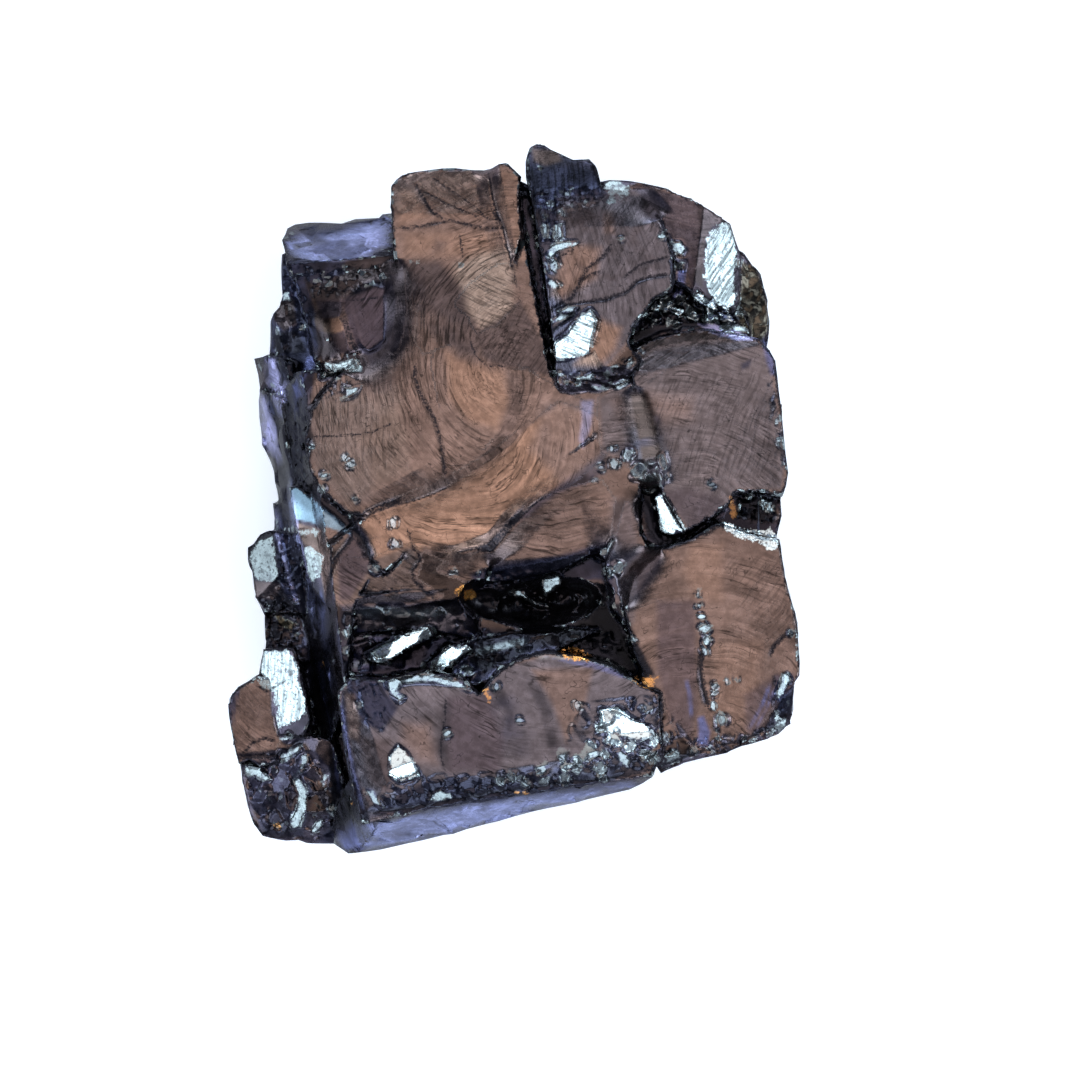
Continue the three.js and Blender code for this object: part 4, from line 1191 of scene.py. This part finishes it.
def stone_material():
    material = bpy.data.materials.new("shungite")
    n = Nodes(material)
    shader = n.tree.nodes["Principled BSDF"].inputs
    marks = Marks(n)
    scored = n.attribute("scores")
    scoring = n.noise(n.stretch(scored, SCORE_GRAIN), 1.0, 3.0, 0.6)
    scoring = n.maths("MULTIPLY", n.spread(scoring, 0.38, 0.52, 0.75, 0), n.part(scored, 2))
    colour = glinting(n, marks, chipped(n, marks, grained(n, marks)))
    colour = n.times(colour, n.maths("SUBTRACT", 1.0, scoring))
    n.put(cracked(n, marks, colour), shader["Base Color"])
    n.put(n.spread(marks.mottle, *MOST_NOISE, *GLOSS), shader["Roughness"])
    n.put(surface(n, marks, scoring), shader["Normal"])
    shader["IOR"].default_value = 1.9
    shader["Metallic"].default_value = 0.9
    shader["Specular Tint"].default_value = (0.5, 0.5, 0.5, 1)
    return material


def floor_material():
    material = bpy.data.materials.new("pale_floor")
    n = Nodes(material)
    shader = n.tree.nodes["Principled BSDF"].inputs
    shader["Base Color"].default_value = (0.84, 0.87, 0.95, 1)
    shader["Roughness"].default_value = 0.8
    shader["Emission Color"].default_value = (0.9, 0.95, 1.0, 1)
    shader["Emission Strength"].default_value = 0.45
    return material


# ---- floor, light and camera ------------------------------------------------------------
FLOOR_SIDE = 3000.0
VIEW_MIDDLE = (540, 540)  # the grid point in the middle of the view
VIEW_SPAN = 1080  # squares across the view at the stone's mean height
MEAN_HEIGHT = 11.0
LENS = 250.0
SENSOR = 36.0

# The room: (how far up, 0 level and 1 straight above; colour)
ROOM = [
    (-1.0, (0.95, 0.97, 1.0)),
    (0.0, (0.95, 0.97, 1.0)),
    (0.35, (0.60, 0.64, 0.75)),
    (0.55, (0.10, 0.13, 0.22)),
    (1.0, (0.05, 0.06, 0.10)),
]
# Round soft lights: (bearing, height, radius and width of the soft edge, all in degrees, colour)
OVERHEAD = (0, 90, 15, 16, (1.50, 1.33, 1.23))
LAMPS = [OVERHEAD] + [(bearing, 34, 11, 8, (4.4, 5.0, 5.3)) for bearing in LIGHT_BEARINGS]


def floor():
    side = FLOOR_SIDE * METRES / 2
    mesh = bpy.data.meshes.new("floor")
    corners = [(-side, -side, 0), (side, -side, 0), (side, side, 0), (-side, side, 0)]
    mesh.from_pydata(corners, [], [(0, 1, 2, 3)])
    mesh.materials.append(floor_material())
    made = bpy.data.objects.new("floor", mesh)
    bpy.context.scene.collection.objects.link(made)
    return made


def lamp(n, towards, bearing, stands, radius, soft, colour):
    """A round light with a soft edge."""
    turn, lift = math.radians(bearing), math.radians(stands)
    aim = (math.cos(lift) * math.cos(turn), math.cos(lift) * math.sin(turn), math.sin(lift))
    near = n.add("VectorMath", "Value", [(0, towards), (1, aim)], operation="DOT_PRODUCT")
    low, high = (math.cos(math.radians(angle)) for angle in (radius + soft, radius))
    return n.times(colour, n.spread(near, low, high, 0, 1))


def sky():
    """A pale room, dark overhead but for a warm soft light straight above and four cool ones round it."""
    world = bpy.data.worlds.new("studio")
    bpy.context.scene.world = world
    n = Nodes(world)
    n.tree.nodes.clear()
    towards = n.add("TexCoord", "Generated")
    height = n.part(towards, 2)
    ramp_socket = n.add("ValToRGB", 0, [(0, n.spread(height, -1.0, 1.0, 0.0, 1.0, "LINEAR"))])
    stops = ramp_socket.node.color_ramp.elements
    while len(stops) < len(ROOM):
        stops.new(0.5)
    for stop, (up, colour) in zip(stops, ROOM):
        stop.position = (up + 1) / 2
        stop.color = (*colour, 1)
    light = ramp_socket
    for values in LAMPS:
        light = n.add("VectorMath", 0, [(0, light), (1, lamp(n, towards, *values))])
    lit = n.add("Background", 0, [(0, light)])
    seen = n.add("Background", 0, [(0, (1, 1, 1, 1))])
    mixed = n.add("MixShader", 0, [(0, n.add("LightPath", "Is Camera Ray")), (1, lit), (2, seen)])
    n.put(mixed, n.tree.nodes.new("ShaderNodeOutputWorld").inputs[0])


def camera():
    data = bpy.data.cameras.new("camera")
    data.lens = LENS
    data.sensor_width = SENSOR
    data.clip_start = 0.01
    made = bpy.data.objects.new("camera", data)
    x = (VIEW_MIDDLE[0] - MIDDLE[0]) * SQUARE
    y = (MIDDLE[1] - VIEW_MIDDLE[1]) * SQUARE
    z = MEAN_HEIGHT + VIEW_SPAN * SQUARE * LENS / SENSOR
    made.location = (x * METRES, y * METRES, z * METRES)
    bpy.context.scene.collection.objects.link(made)
    bpy.context.scene.camera = made


stone = carved_stone()
stone.data.materials.append(stone_material())
ground = floor()
sky()
camera()
bpy.context.scene.view_settings.view_transform = "Standard"

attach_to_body(stone, "root")
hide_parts("shungite_stone")
